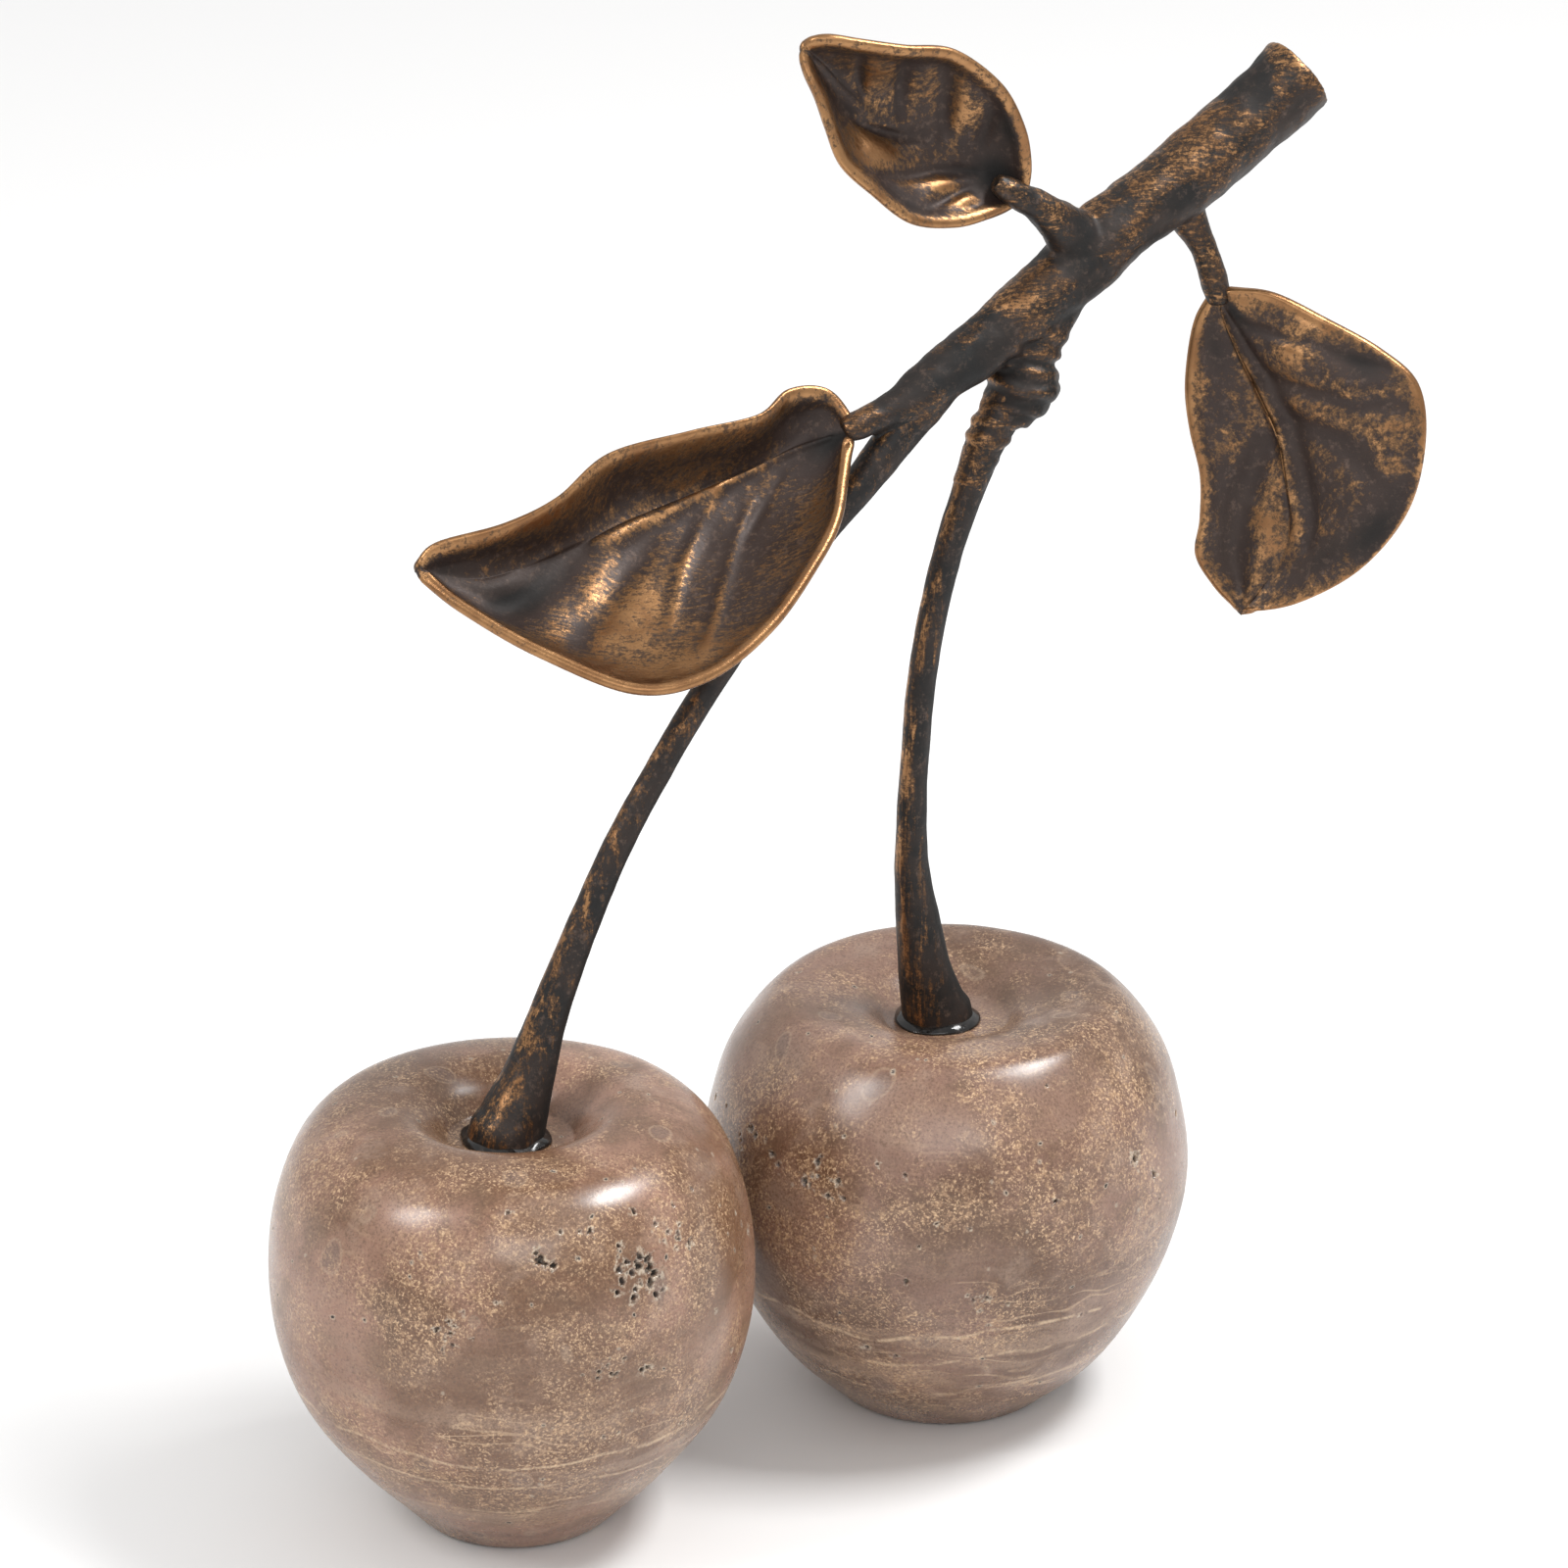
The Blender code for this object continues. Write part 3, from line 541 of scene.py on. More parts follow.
def limb_tree(name, fused):
    """Tubes along lines, fused into one casting where asked, with a hand-worked surface."""
    tree, given, result = new_shaping_tree(name, {
        "Sides": "NodeSocketInt", "Voxel": "NodeSocketFloat", "Skin": "NodeSocketFloat",
        "Chasing": "NodeSocketFloat", "Chasing size": "NodeSocketFloat", "Seed": "NodeSocketFloat",
    })
    line = put(tree, "GeometryNodeMeshToCurve", {"Mesh": given.outputs["Geometry"]})
    girth = put(tree, "GeometryNodeInputNamedAttribute", {"Name": "girth"}, data_type="FLOAT").outputs[0]
    ring = put(tree, "GeometryNodeCurvePrimitiveCircle", {"Resolution": given.outputs["Sides"], "Radius": 1.0})
    solid = put(tree, "GeometryNodeCurveToMesh", {
        "Curve": line.outputs[0], "Profile Curve": ring.outputs[0], "Scale": girth, "Fill Caps": True}).outputs[0]
    if fused:
        joined = put(tree, "GeometryNodeMeshBoolean", {"Self Intersection": True}, operation="UNION", solver="EXACT")
        tree.links.new(solid, joined.inputs["Mesh 2"])
        solid = joined.outputs[0]
        fog = put(tree, "GeometryNodeMeshToVolume", {"Mesh": solid, "Density": 1.0}, resolution_mode="VOXEL_SIZE")
        tree.links.new(given.outputs["Voxel"], fog.inputs["Voxel Size"])
        tree.links.new(given.outputs["Skin"], fog.inputs["Interior Band Width"])
        solid = put(tree, "GeometryNodeVolumeToMesh", {"Volume": fog.outputs[0], "Threshold": 0.5}).outputs[0]
        eased = put(tree, "GeometryNodeBlurAttribute", {
            "Value": put(tree, "GeometryNodeInputPosition").outputs[0], "Iterations": 3}, data_type="FLOAT_VECTOR")
        solid = put(tree, "GeometryNodeSetPosition", {"Geometry": solid, "Position": eased.outputs[0]}).outputs[0]
    lumps = put(tree, "ShaderNodeTexNoise", {
        "Scale": reckon(tree, "DIVIDE", 1.0, given.outputs["Chasing size"]), "Detail": 2.0, "W": given.outputs["Seed"],
    }, noise_dimensions="4D").outputs[0]
    push = reckon(tree, "MULTIPLY", reckon(tree, "SUBTRACT", lumps, 0.5), given.outputs["Chasing"])
    kept = put(tree, "GeometryNodeStoreNamedAttribute", {
        "Geometry": solid, "Name": "lump", "Value": lumps}, data_type="FLOAT", domain="POINT")
    worked = put(tree, "GeometryNodeSetPosition", {
        "Geometry": kept.outputs[0],
        "Offset": put(tree, "ShaderNodeVectorMath", {
            0: put(tree, "GeometryNodeInputNormal").outputs[0], "Scale": push}, operation="SCALE").outputs[0],
    })
    close_tree(tree, given, result, worked.outputs[0])
    return tree


def noted_by(piece, label):
    numbers = np.empty(len(piece.data.vertices), np.float32)
    piece.data.attributes[label].data.foreach_get("value", numbers)
    return numbers.astype(float)


stalk_bronze = antiqued_bronze("antiqued_bronze_stalks", paint(20, 19, 19), paint(92, 68, 48), (1300, 1300, 110))
plain_limbs = limb_tree("stalk_casting", False)
for name, rows, seed in (("stalk_front", FRONT_STALK, 3), ("stalk_rear", REAR_STALK, 8)):
    route = even_rows(in_plane(rows), 1.0)
    foot = route[0].copy()
    # The first rings lie level on the stone, then lean into the stalk.
    route = np.vstack([foot, foot + (0, 0, 0.5, -0.05), foot + (0, 0, 1.0, -0.1) + 0.25 * (route[2] - route[0]), route[3:]])
    start = line_mesh(name + "_line", route[:, :3] * MM, {"girth": route[:, 3] * MM})
    stalk = shaped(name, start, plain_limbs, {
        "Sides": 56, "Voxel": 0.45 * MM, "Skin": 1.8 * MM, "Chasing": 0.5 * MM, "Chasing size": 7 * MM,
        "Seed": float(seed), "Material": stalk_bronze,
    })
    stalk.name = "cast_" + name
    facing_out(stalk)
    normals, points = normals_of(stalk), points_of(stalk)
    # Painted light and shade: the side facing the left light gets more bare metal and the far side is painted near
    # black. The streaks and blotches are real rubbing.
    lit_side = normals @ np.array((-0.80, -0.58, 0.15))
    streaks = rumple(points * (1.0, 1.0, 0.22), 2.2 * MM, seed)
    blotches = rumple(points, 9 * MM, seed + 2)
    note(stalk, "wear_and_painted_light", np.clip(0.17 + 0.30 * step_up(0.25, 0.95, lit_side) + 0.08 * streaks + 0.03 * blotches, 0, 1))
    note(stalk, "soot_and_painted_shade", np.clip(0.85 * step_up(0.05, -0.75, lit_side) + 0.25 * step_up(0.35, -0.2, streaks), 0, 0.8))
    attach(stalk, "root")
    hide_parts(name)

# ---------------------------------------------------------------- the glue at the feet
# Black epoxy squeezed out round each stalk's foot when it was set on the stone:
# a low uneven bead, glossy, hugging the foot and running out thin on the seat.


def black_epoxy():
    material, tree, surface, place = new_finish("black_epoxy")
    cloud = grain(tree, place, 500.0, 3.0)
    tree.links.new(layer(tree, span(tree, cloud, 0.4, 0.7), paint(14, 13, 13), paint(38, 33, 30)), surface.inputs["Base Color"])
    tree.links.new(span(tree, cloud, 0.3, 0.7, 0.06, 0.22), surface.inputs["Roughness"])
    tree.links.new(put(tree, "ShaderNodeBump", {"Strength": 0.3, "Distance": 0.0003, "Height": cloud}).outputs[0],
                   surface.inputs["Normal"])
    return material


def ring_mesh(name, rings, finish, loop=False):
    """A closed solid through rings of equal length; a loop joins its last ring to its first."""
    rings = np.array(rings)
    count, sides = rings.shape[:2]
    faces = []
    for ring in range(count if loop else count - 1):
        after_ring = (ring + 1) % count
        for side in range(sides):
            after = (side + 1) % sides
            faces.append((ring * sides + side, ring * sides + after, after_ring * sides + after, after_ring * sides + side))
    points = rings.reshape(-1, 3)
    if not loop:
        points = np.vstack([points, rings[0].mean(axis=0), rings[-1].mean(axis=0)])
        first, last = len(points) - 2, len(points) - 1
        for side in range(sides):
            after = (side + 1) % sides
            faces.append((first, after, side))
            faces.append((last, (count - 1) * sides + side, (count - 1) * sides + after))
    mesh = bpy.data.meshes.new(name)
    mesh.from_pydata([tuple(p) for p in points * MM], [], faces)
    mesh.shade_smooth()
    mesh.materials.append(finish)
    piece = bpy.data.objects.new(name, mesh)
    bpy.context.scene.collection.objects.link(piece)
    facing_out(piece)
    return piece


epoxy = black_epoxy()
for name, rows, seed in (("front", FRONT_STALK, 4), ("rear", REAR_STALK, 6)):
    foot = in_plane(rows[:1])[0]
    rng = np.random.default_rng(seed)
    waves = [(k, rng.uniform(0.05, 0.32) / k**0.5, rng.uniform(0, 6.3)) for k in range(2, 9)]
    rings = []
    for angle in np.linspace(0, 2 * math.pi, 120, endpoint=False):
        out = 1.35 + sum(size * math.sin(k * angle + start_at) for k, size, start_at in waves)
        high = 0.95 + 0.6 * sum(size * math.cos(k * angle + start_at) for k, size, start_at in waves)
        section = [(-1.4, 0.0), (out * 0.6, 0.0), (out, 0.0), (out * 0.97, 0.35), (out * 0.78, 0.8 * high * 0.75),
                   (out * 0.45, high * 0.95), (0.1, high * 1.25), (-0.5, high * 1.45), (-1.4, high * 1.3)]
        rings.append([(foot[0] + (foot[3] + reach) * math.cos(angle), foot[1] + (foot[3] + reach) * math.sin(angle),
                       foot[2] - 0.25 + up) for reach, up in section])
    bead = ring_mesh("epoxy_bead_" + name, rings, epoxy, loop=True)
    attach(bead, "root")
    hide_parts("glue_collar_" + name)

# ---------------------------------------------------------------- the branch
# One bronze casting: a crooked twig with a sawn end, the knuckle that the rear stalk grows from,
# and the stems of the three leaves. Black in the hollows, rubbed gold along its ridges. Its upper front side gets more
# gold as painted light, and its underside is painted dark as painted shade.

TRUNK = [
    (134.9, 272.1, 7.6), (133.8, 271.4, 8.4), (124.8, 265.5, 8.0), (115.6, 260.1, 7.6), (106.6, 255.0, 7.5),
    (96.8, 250.1, 7.3), (87.0, 245.2, 7.3), (78.6, 239.6, 7.2), (69.4, 234.2, 6.4), (59.8, 229.0, 5.9),
    (51.4, 225.0, 5.6), (43.4, 221.2, 4.9), (38.2, 219.4, 3.9), (33.2, 218.2, 3.1), (29.9, 217.5, 2.9),
]
KNUCKLE = [
    (84.0, 242.0, 5.0), (78.0, 235.8, 5.2), (72.8, 229.2, 5.4), (69.6, 223.8, 5.8), (68.6, 219.2, 7.6),
    (66.6, 215.4, 6.6), (63.8, 212.0, 4.8),
]
UPPER_SPUR = [(70.0, 43.4, 244.6, 6.8), (67.5, 41.0, 248.2, 5.4), (64.3, 38.4, 252.2, 4.2), (61.0, 36.2, 255.6, 3.3)]
FRONT_SLEEVE = [(30.4, 205.0, 3.4), (39.6, 214.0, 4.2), (47.0, 220.6, 4.4), (54.0, 225.0, 4.0)]
REAR_SLEEVE = [(55.8, 198.0, 3.1), (60.2, 208.1, 4.0), (65.6, 216.0, 4.7)]
LEFT_STEM = [(25.4, 15.8, 217.4, 2.9), (23.6, 15.0, 216.9, 2.6), (21.8, 14.4, 216.2, 2.0)]
RIGHT_STEM = [(88.6, 57.0, 252.0, 5.2), (91.6, 56.6, 246.2, 3.6), (95.0, 55.6, 239.0, 2.6), (97.1, 54.6, 232.6, 2.7), (98.0, 53.6, 227.8, 2.0)]
UPPER_STEM = [(57.6, 34.3, 258.2, 2.9), (54.6, 33.0, 260.6, 2.4), (51.6, 32.2, 263.0, 1.6)]
SKIN = 1.8


def about_middle(rows):
    rows = np.array(rows, float)
    return np.column_stack([rows[:, :3] - MIDDLE, rows[:, 3]])


trunk_route = in_plane(TRUNK)
routes = [
    np.vstack([trunk_route[:-1], about_middle(LEFT_STEM)]), in_plane(KNUCKLE), about_middle(UPPER_SPUR + UPPER_STEM),
    about_middle(RIGHT_STEM), in_plane(FRONT_SLEEVE), in_plane(REAR_SLEEVE),
]
points, girths, breaks = [], [], []
for route in routes:
    fine = even_rows(route, 0.9)
    breaks.append(len(points))
    points += list(fine[:, :3] * MM)
    girths += list((fine[:, 3] + SKIN / 2) * MM)
start = line_mesh("branch_lines", points, {"girth": girths}, breaks)
branch_bronze = antiqued_bronze("antiqued_bronze_branch", paint(18, 18, 18), paint(84, 63, 46), (240, 1500, 1500), (0, 0.5, 0.55))
branch = shaped("branch_start", start, limb_tree("branch_casting", True), {
    "Sides": 40, "Voxel": 0.45 * MM, "Skin": SKIN * MM, "Chasing": 2.4 * MM, "Chasing size": 11 * MM,
    "Seed": 5.0, "Material": branch_bronze,
})
branch.name = "cast_branch"
facing_out(branch)
points, normals = points_of(branch), normals_of(branch)
knuckle = even_rows(in_plane(KNUCKLE[3:]), 0.5)[:, :3]
near = np.min([np.linalg.norm(points / MM - spot, axis=1) for spot in knuckle[::2]], axis=0)
folds = np.sin(points @ np.array((0.25, 0.1, 1.0)) / MM * 2 * math.pi / 4.1 + 1.2 * rumple(points, 7 * MM, 3))
points += normals * (0.32 * MM * folds * step_up(11.0, 8.0, near))[:, None]
branch.data.vertices.foreach_set("co", points.ravel())
branch.data.update()
lump = noted_by(branch, "lump") + 0.10 * folds * step_up(11.0, 8.0, near)
ridges = rumple(points, 6 * MM, 4)
# Painted light and shade: the side facing up and to the front gets more rubbed gold, and the underside is painted dark.
# The lumps, ridges and the ring at the sawn end are real rubbing and patina.
lit_upper_side = normals @ np.array((-0.35, -0.45, 0.82))
cut_end = step_up(7.5, 9.5, np.linalg.norm(points / MM - trunk_route[0, :3], axis=1)) * 0
rim = np.exp(-((np.linalg.norm(points / MM - trunk_route[0, :3], axis=1) - 7.6) / 1.1) ** 2)
note(branch, "wear_and_painted_light", np.clip(0.14 + 0.8 * (lump - 0.5) + 0.06 * ridges + 0.24 * step_up(-0.1, 0.9, lit_upper_side) + 0.4 * rim, 0, 0.95))
note(branch, "soot_and_painted_shade", np.clip(0.55 * step_up(0.52, 0.36, lump) + 0.45 * step_up(-0.1, -0.8, lit_upper_side) - 0.5 * rim, 0, 0.85))
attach(branch, "root")
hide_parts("branch")

# ---------------------------------------------------------------- the leaves
# Three thin bronze leaves, cast with their ribs and brazed to their stems: a bowl at the left,
# a folded one hanging at the right, a cupped one above. Worn to a bright rim all round.

LEAVES = {
    "leaf_left": {
        "base": (23.8, 14.0, 216.9), "tip": (-60.5, -20.0, 202.4), "face": (0.139, -0.66, 0.738),
        "far_edge": [(-1.9, -1.9), (1.5, -9.0), (9.4, -10.5), (17.8, -6.6), (32.3, -7.2), (49.4, -7.7), (62.1, -2.5), (73.6, -1.1), (86.9, -2.4), (91.6, -1.2)],
        "rib": [(-0.4, 0.3), (3.7, -1.0), (10.2, -1.7), (20.3, -0.8), (33.3, 0.2), (46.3, 1.5), (60.9, 3.7), (78.2, 5.1), (87.6, 2.6), (92.3, 0.6)],
        "near_edge": [(1.4, 2.4), (5.8, 10.5), (10.3, 18.2), (17.3, 25.3), (31.9, 36.2), (47.9, 42.3), (62.4, 40.2), (76.4, 26.7), (86.3, 13.1), (91.6, 2.8)],
        "cup": 8.0, "far_lift": 7.0, "near_lift": 4.0, "far_swell": 0.0, "near_swell": -1.5,
        "lines": [  # u, v points, width mm, height mm (a groove is negative)
            ([(0.10, 0.0), (0.27, -0.02), (0.38, 0.0), (0.49, 0.03), (0.62, 0.03)], 1.3, 0.9),
            ([(0.40, 0.05), (0.45, 0.18), (0.51, 0.35), (0.57, 0.62)], 1.1, 0.55),
            ([(0.36, 0.22), (0.43, 0.45), (0.49, 0.68), (0.54, 0.84)], 1.0, 0.5),
            ([(0.53, 0.07), (0.60, 0.23), (0.68, 0.48), (0.73, 0.75)], 2.2, -0.8),
            ([(0.28, 0.15), (0.35, 0.30), (0.40, 0.40)], 1.2, -0.5),
            ([(0.66, 0.02), (0.71, 0.12), (0.78, 0.32), (0.82, 0.5)], 3.0, -1.3),
        ],
        "pillows": [(0.62, 0.42, 0.06, 0.28, 0.9), (0.50, 0.50, 0.05, 0.25, 0.5), (0.76, 0.10, 0.06, 0.1, 0.8), (0.55, -0.45, 0.05, 0.3, -0.7)],
        "golden": [(0.64, 0.62, 0.09, 0.40, 0.36), (0.27, 0.68, 0.07, 0.22, 0.42), (0.62, 0.90, 0.16, 0.09, 0.40), (0.80, 0.75, 0.12, 0.22, 0.24), (0.50, -0.25, 0.14, 0.4, 0.14)],
        "black": [(0.08, 0.10, 0.14, 0.35, 0.85), (0.76, 0.18, 0.08, 0.20, 0.55), (0.88, -0.3, 0.07, 0.5, 0.45), (0.42, 0.42, 0.06, 0.3, 0.25)],
    },
    "leaf_right": {
        "base": (97.6, 54.0, 231.4), "tip": (103.1, 44.0, 165.5), "face": (-0.251, -0.96, 0.125),
        "far_edge": [(0.8, -2.0), (5.7, -4.8), (12.3, -6.5), (20.2, -7.5), (28.3, -7.0), (37.5, -5.6), (46.7, -6.4), (54.2, -8.0), (61.1, -4.9), (65.9, -1.3)],
        "rib": [(0.2, 0.2), (6.4, 1.3), (13.5, 3.6), (21.8, 7.0), (30.1, 10.0), (39.3, 11.4), (48.4, 11.4), (56.4, 9.0), (62.7, 4.6), (67.4, 0.1)],
        "near_edge": [(-0.7, 2.3), (0.8, 11.4), (6.5, 21.8), (13.3, 32.6), (20.7, 39.5), (32.5, 40.2), (46.5, 35.9), (57.9, 26.0), (64.7, 13.2), (67.0, 1.6)],
        "cup": 3.0, "far_lift": 3.0, "near_lift": -2.0, "far_swell": 0.6, "near_swell": 3.0,
        "lines": [
            ([(0.08, 0.0), (0.27, 0.0), (0.45, 0.0), (0.58, 0.02), (0.70, 0.12)], 1.5, 1.5),
            ([(0.10, 0.07), (0.27, 0.08), (0.45, 0.08), (0.58, 0.10), (0.72, 0.22)], 1.8, -1.3),
            ([(0.15, 0.22), (0.20, 0.45), (0.26, 0.65), (0.36, 0.85)], 1.8, -0.8),
            ([(0.30, 0.10), (0.36, 0.30), (0.43, 0.55), (0.47, 0.85)], 1.8, -0.9),
            ([(0.42, 0.08), (0.50, 0.40), (0.60, 0.65), (0.64, 0.92)], 1.8, -0.9),
            ([(0.46, -0.17), (0.54, -0.40), (0.63, -0.60), (0.76, -0.60), (0.88, -0.50)], 2.4, -1.5),
            ([(0.52, -0.1), (0.64, -0.25), (0.78, -0.28), (0.92, -0.2)], 2.2, 1.2),
        ],
        "pillows": [(0.26, 0.52, 0.05, 0.2, 0.9), (0.40, 0.60, 0.05, 0.2, 0.9), (0.30, -0.5, 0.1, 0.3, 0.6), (0.62, 0.5, 0.06, 0.25, 0.5)],
        "golden": [(0.08, 0.60, 0.07, 0.36, 0.42), (0.18, 0.90, 0.14, 0.14, 0.40), (0.27, 0.42, 0.04, 0.30, 0.30), (0.52, 0.70, 0.07, 0.20, 0.32), (0.86, 0.70, 0.10, 0.32, 0.40), (0.20, -0.85, 0.2, 0.15, 0.3), (0.80, -0.05, 0.10, 0.25, 0.22), (0.35, -0.1, 0.2, 0.12, 0.2)],
        "black": [(0.10, 0.25, 0.06, 0.14, 0.8), (0.36, 0.80, 0.05, 0.14, 0.55), (0.70, 0.80, 0.07, 0.22, 0.7), (0.20, -0.5, 0.1, 0.25, 0.5), (0.76, 0.45, 0.07, 0.2, 0.45)],
    },
    "leaf_upper": {
        "base": (57.1, 34.0, 258.4), "tip": (14.9, 22.0, 294.0), "face": (0.389, -0.908, 0.156),
        "far_edge": [(-1.1, -2.1), (2.9, -7.0), (9.2, -11.9), (18.7, -15.8), (31.3, -15.8), (40.6, -10.9), (48.9, -6.9), (54.6, -4.2), (56.9, -2.0), (57.2, -0.4)],
        "rib": [(-0.6, 0.1), (3.9, -0.3), (9.5, -0.2), (16.2, 0.5), (23.0, 1.6), (30.1, 2.6), (36.7, 2.8), (43.4, 2.1), (50.1, 1.1), (56.8, 0.8)],
        "near_edge": [(0.0, 2.5), (3.8, 6.7), (9.6, 12.1), (18.6, 16.5), (29.4, 16.2), (38.0, 15.0), (44.4, 10.8), (49.5, 6.9), (53.4, 4.4), (56.0, 2.0)],
        "cup": 6.0, "far_lift": 5.0, "near_lift": 4.0, "far_swell": -0.5, "near_swell": -0.5,
        "lines": [
            ([(0.66, -0.85), (0.66, -0.25)], 1.1, -0.7), ([(0.54, -0.85), (0.51, -0.2)], 1.2, -0.9),
            ([(0.44, -0.85), (0.37, -0.2)], 1.3, -1.0), ([(0.31, -0.85), (0.25, -0.3)], 1.1, -0.7),
            ([(0.62, 0.32), (0.50, 0.08), (0.42, -0.05)], 1.3, -1.0),
            ([(0.44, 0.70), (0.32, 0.25), (0.22, 0.05)], 1.3, -1.1), ([(0.30, 0.80), (0.22, 0.42)], 1.2, -0.8),
        ],
        "pillows": [(0.50, 0.48, 0.08, 0.28, 1.4), (0.30, 0.42, 0.07, 0.2, 1.2), (0.22, 0.62, 0.06, 0.2, 1.1), (0.35, -0.55, 0.05, 0.25, 0.9), (0.6, -0.5, 0.05, 0.3, 0.4)],
        "golden": [(0.52, 0.50, 0.09, 0.28, 0.55), (0.28, 0.45, 0.05, 0.14, 0.5), (0.21, 0.66, 0.05, 0.16, 0.5), (0.36, -0.55, 0.05, 0.22, 0.30), (0.60, -0.5, 0.05, 0.3, 0.28), (0.75, -0.4, 0.08, 0.4, 0.26)],
        "black": [(0.13, -0.1, 0.12, 0.55, 1.0), (0.24, -0.9, 0.07, 0.25, 0.7), (0.76, -0.25, 0.05, 0.25, 0.4), (0.68, 0.3, 0.05, 0.2, 0.45), (0.36, 0.85, 0.1, 0.12, 0.5)],
    },
}
BLADE_HALF, RIM_HALF = 0.9, 1.25
BLADE_STEP = 0.62


def unit(vectors):
    return vectors / np.linalg.norm(vectors, axis=-1, keepdims=True)


def line_distance(u, v, points, length, width):
    """How far in mm each u, v is from a line of u, v points, and how far along the line, 0 to 1."""
    spots = np.stack([u * length, v * width], axis=-1)
    line = np.array(points) * (length, width)
    best, along = np.full(u.shape, 1e9), np.zeros(u.shape)
    for index, (start_at, end_at) in enumerate(zip(line, line[1:])):
        run = end_at - start_at
        t = np.clip(((spots - start_at) @ run) / (run @ run), 0, 1)
        away = np.linalg.norm(spots - start_at - t[..., None] * run, axis=-1)
        closer = away < best
        best = np.where(closer, away, best)
        along = np.where(closer, (index + t) / (len(line) - 1), along)
    return best, along


def spots_sum(u, v, rows):
    return sum(amount * np.exp(-((u - a) / wide) ** 2 - ((v - b) / tall) ** 2) for a, b, wide, tall, amount in rows)


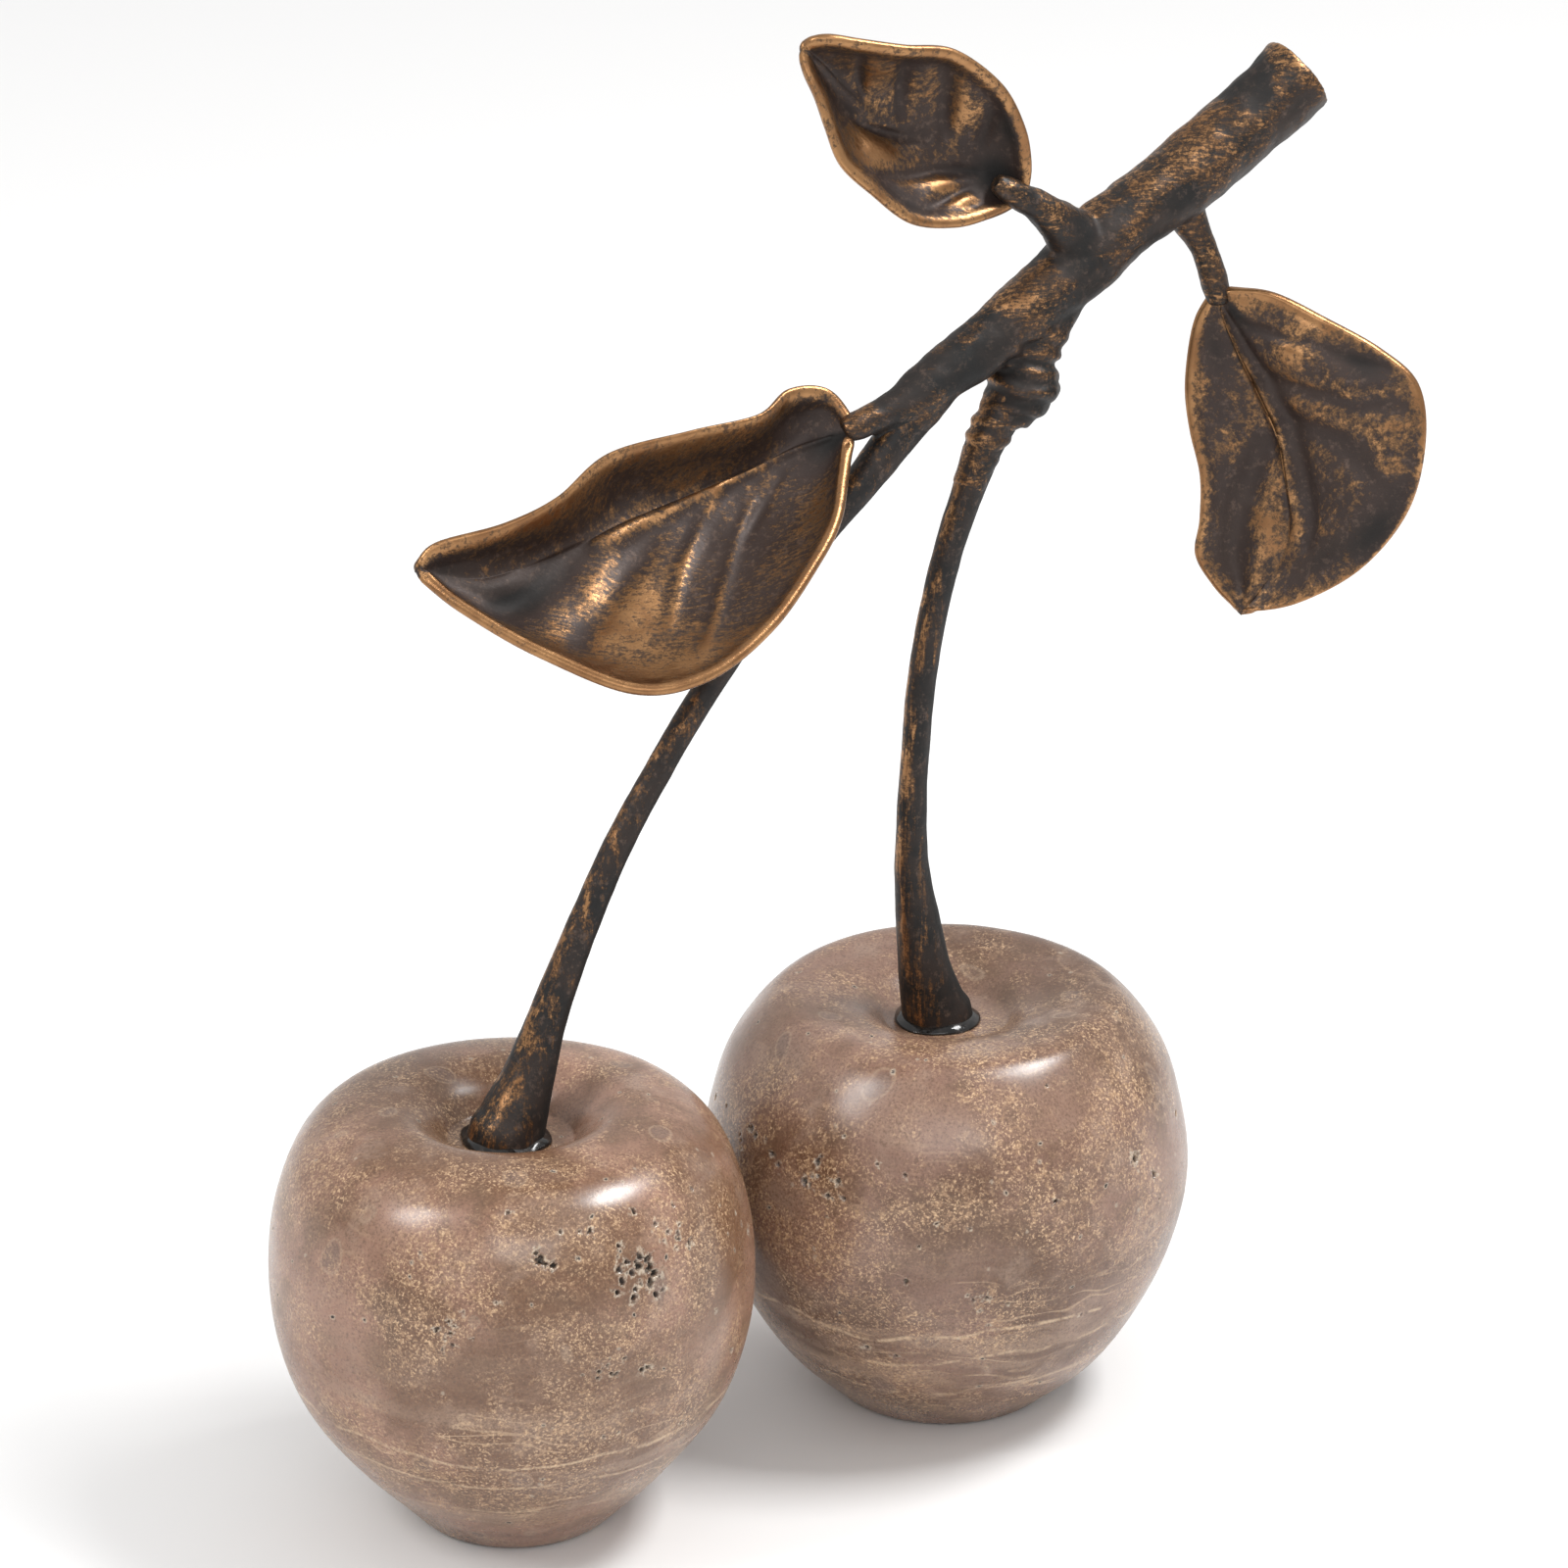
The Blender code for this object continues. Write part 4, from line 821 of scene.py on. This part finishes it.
leaf_bronze = antiqued_bronze("antiqued_bronze_leaves", paint(50, 38, 34), paint(108, 82, 58), (420, 1500, 420), (0.3, 0.2, 0.4))
for name, leaf in LEAVES.items():
    base = np.array(leaf["base"]) - MIDDLE
    along = np.array(leaf["tip"]) - MIDDLE - base
    length = np.linalg.norm(along)
    along = along / length
    face = np.array(leaf["face"])
    face = unit(face - along * (face @ along))
    across = np.cross(face, along)
    widths = {side: np.mean([np.linalg.norm(np.subtract(e, r)) for e, r in zip(leaf[side + "_edge"], leaf["rib"])]) for side in ("far", "near")}
    stations = np.linspace(0, 1, round(length / BLADE_STEP) + 1)
    per_half = round(max(widths.values()) / BLADE_STEP) + 14
    u_all, v_all, away_all, middles = [], [], [], []
    for u in stations:
        rib = smooth_at(leaf["rib"], u * 9)
        edges = {side: smooth_at(leaf[side + "_edge"], u * 9) for side in ("far", "near")}
        arch = math.sin(math.pi * u)
        rib_depth = -leaf["cup"] * arch**0.7
        halves = []
        for side, sign in (("far", -1), ("near", 1)):
            width = max(np.linalg.norm(edges[side] - rib), 0.3)
            bead = min(RIM_HALF, 0.6 * width)
            close = bead * (1 - np.cos(np.linspace(0, math.pi / 2, 8)))
            rest = np.linspace(bead, width, per_half - 7)[1:]
            away = np.concatenate([close, rest])
            s = 1 - away / width
            spot = rib + np.outer(s, edges[side] - rib)
            depth = rib_depth + (leaf[side + "_lift"] * arch - rib_depth) * s**2 + leaf[side + "_swell"] * arch * np.sin(math.pi * s)
            halves.append((sign * s, away, spot, depth, np.full(len(s), bead)))
        order = [np.concatenate([halves[0][k], halves[1][k][::-1][1:]]) for k in range(5)]
        v_all.append(order[0])
        away_all.append(np.stack([order[1], order[4]], axis=1))
        u_all.append(np.full(len(order[0]), u))
        middles.append(base + np.outer(order[2][:, 0], along) + np.outer(order[2][:, 1], across) + np.outer(order[3], face))
    u_all, v_all, away_all, middles = map(np.array, (u_all, v_all, away_all, middles))
    height = np.zeros(u_all.shape)
    side_width = np.where(v_all < 0, widths["far"], widths["near"])
    for points, wide, rise in leaf["lines"]:
        width = widths["far"] if np.mean([p[1] for p in points]) < -0.02 else widths["near"]
        away, run = line_distance(u_all, v_all, points, length, width * 1.25)
        height += 1.15 * rise * np.exp(-((away / wide) ** 2)) * np.sin(math.pi * np.clip(0.12 + 0.76 * run, 0, 1)) ** 0.5
    height += spots_sum(u_all, v_all, leaf["pillows"])
    calm = step_up(0.5, 4.0, away_all[..., 0]) * step_up(0.0, 0.08, u_all) * step_up(1.0, 0.94, u_all)
    waves = rumple(middles.reshape(-1, 3) * MM, 9 * MM, len(name) + 2).reshape(u_all.shape)
    fine_waves = rumple(middles.reshape(-1, 3) * MM, 3.2 * MM, len(name) + 7).reshape(u_all.shape)
    height = (height + 0.22 * waves + 0.05 * fine_waves) * calm
    down, over = np.gradient(middles, axis=0), np.gradient(middles, axis=1)
    normal = unit(np.cross(over, down) + 1e-9)
    normal *= np.sign((normal @ face).mean())
    middles = middles + normal * height[..., None]
    away, bead = away_all[..., 0], away_all[..., 1]
    half = bead * np.sqrt(np.clip(1 - (1 - np.clip(away / bead, 0, 1)) ** 2, 0, 1))
    half = half + (np.minimum(bead, BLADE_HALF) - bead) * step_up(1.0, 2.4, away / bead)
    thin_ends = np.sqrt(np.clip(1 - (1 - np.clip(np.minimum(u_all, 1 - u_all) * length / 1.2, 0, 1)) ** 2, 0.02, 1))
    half = half * thin_ends
    front, back = middles + normal * half[..., None], middles - normal * half[..., None]
    rings = np.concatenate([front, back[:, ::-1][:, 1:-1]], axis=1)
    blade = ring_mesh(name + "_blade", rings, leaf_bronze)
    curve = np.zeros(height.shape)
    curve[1:-1, 1:-1] = height[1:-1, 1:-1] - 0.25 * (height[:-2, 1:-1] + height[2:, 1:-1] + height[1:-1, :-2] + height[1:-1, 2:])
    wear_and_painted_light = 0.18 + 0.50 * np.exp(-((np.maximum(away - 0.5, 0) / 1.0) ** 2)) + 0.13 * height + 3.0 * np.clip(curve, -0.06, 0.08)
    wear_and_painted_light = wear_and_painted_light + spots_sum(u_all, v_all, leaf["golden"]) + 0.10 * waves
    soot_and_painted_shade = spots_sum(u_all, v_all, leaf["black"]) * step_up(0.4, 1.8, away) + 0.28 * step_up(-0.15, -0.9, height)
    both = lambda numbers: np.concatenate([np.concatenate([numbers, numbers[:, ::-1][:, 1:-1]], axis=1).ravel(), [numbers[0].mean(), numbers[-1].mean()]])
    note(blade, "wear_and_painted_light", np.clip(both(wear_and_painted_light), 0, 1.1))
    note(blade, "soot_and_painted_shade", np.clip(both(soot_and_painted_shade), 0, 0.95))
    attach(blade, "root")
    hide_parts(name)

# ---------------------------------------------------------------- floor, light and camera
# A wide pale floor, a large soft light on each side above, and a bright even surround.

floor_mesh = bpy.data.meshes.new("floor")
floor_mesh.from_pydata([(-6, -4, 0), (6, -4, 0), (6, 8, 0), (-6, 8, 0)], [], [(0, 1, 2, 3)])
floor = bpy.data.objects.new("floor", floor_mesh)
bpy.context.scene.collection.objects.link(floor)
floor_paint = bpy.data.materials.new("floor_paint")
floor_paint.use_nodes = True
floor_paint.node_tree.nodes["Principled BSDF"].inputs["Base Color"].default_value = (0.86, 0.86, 0.86, 1)
floor_paint.node_tree.nodes["Principled BSDF"].inputs["Roughness"].default_value = 0.9
floor_mesh.materials.append(floor_paint)

surround = bpy.data.worlds.new("surround")
surround.use_nodes = True
surround.node_tree.nodes["Background"].inputs["Color"].default_value = (1.0, 0.995, 0.99, 1)
surround.node_tree.nodes["Background"].inputs["Strength"].default_value = 0.74
bpy.context.scene.world = surround

for name, toward, distance, size, power in (
    ("right_box", (0.50, 0.00, 0.87), 1.3, (0.48, 0.30), 13.0),
    ("left_box", (-0.62, -0.36, 0.70), 1.3, (0.20, 0.42), 4.5),
    ("front_fill", (0.05, -0.86, 0.50), 2.4, (1.4, 0.9), 9.0),
):
    light = bpy.data.lights.new(name, "AREA")
    light.shape = "RECTANGLE"
    light.size, light.size_y = size
    light.energy = power
    lamp = bpy.data.objects.new(name, light)
    bpy.context.scene.collection.objects.link(lamp)
    direction = Vector(toward).normalized()
    lamp.location = Vector((0, 0, 0.09)) + direction * distance
    lamp.rotation_mode = "QUATERNION"
    lamp.rotation_quaternion = direction.to_track_quat("Z", "Y")

bpy.context.scene.view_settings.view_transform = "Standard"

CAMERA_RISE = math.radians(24)
camera_data = bpy.data.cameras.new("camera")
camera_data.lens, camera_data.sensor_width = 200.0, 36.0
camera = bpy.data.objects.new("camera", camera_data)
bpy.context.scene.collection.objects.link(camera)
camera.location = Vector((-0.0128, -0.0005, 0.147)) + 1.733 * Vector((0, -math.cos(CAMERA_RISE), math.sin(CAMERA_RISE)))
camera.rotation_euler = (math.pi / 2 - CAMERA_RISE, 0, 0)
bpy.context.scene.camera = camera
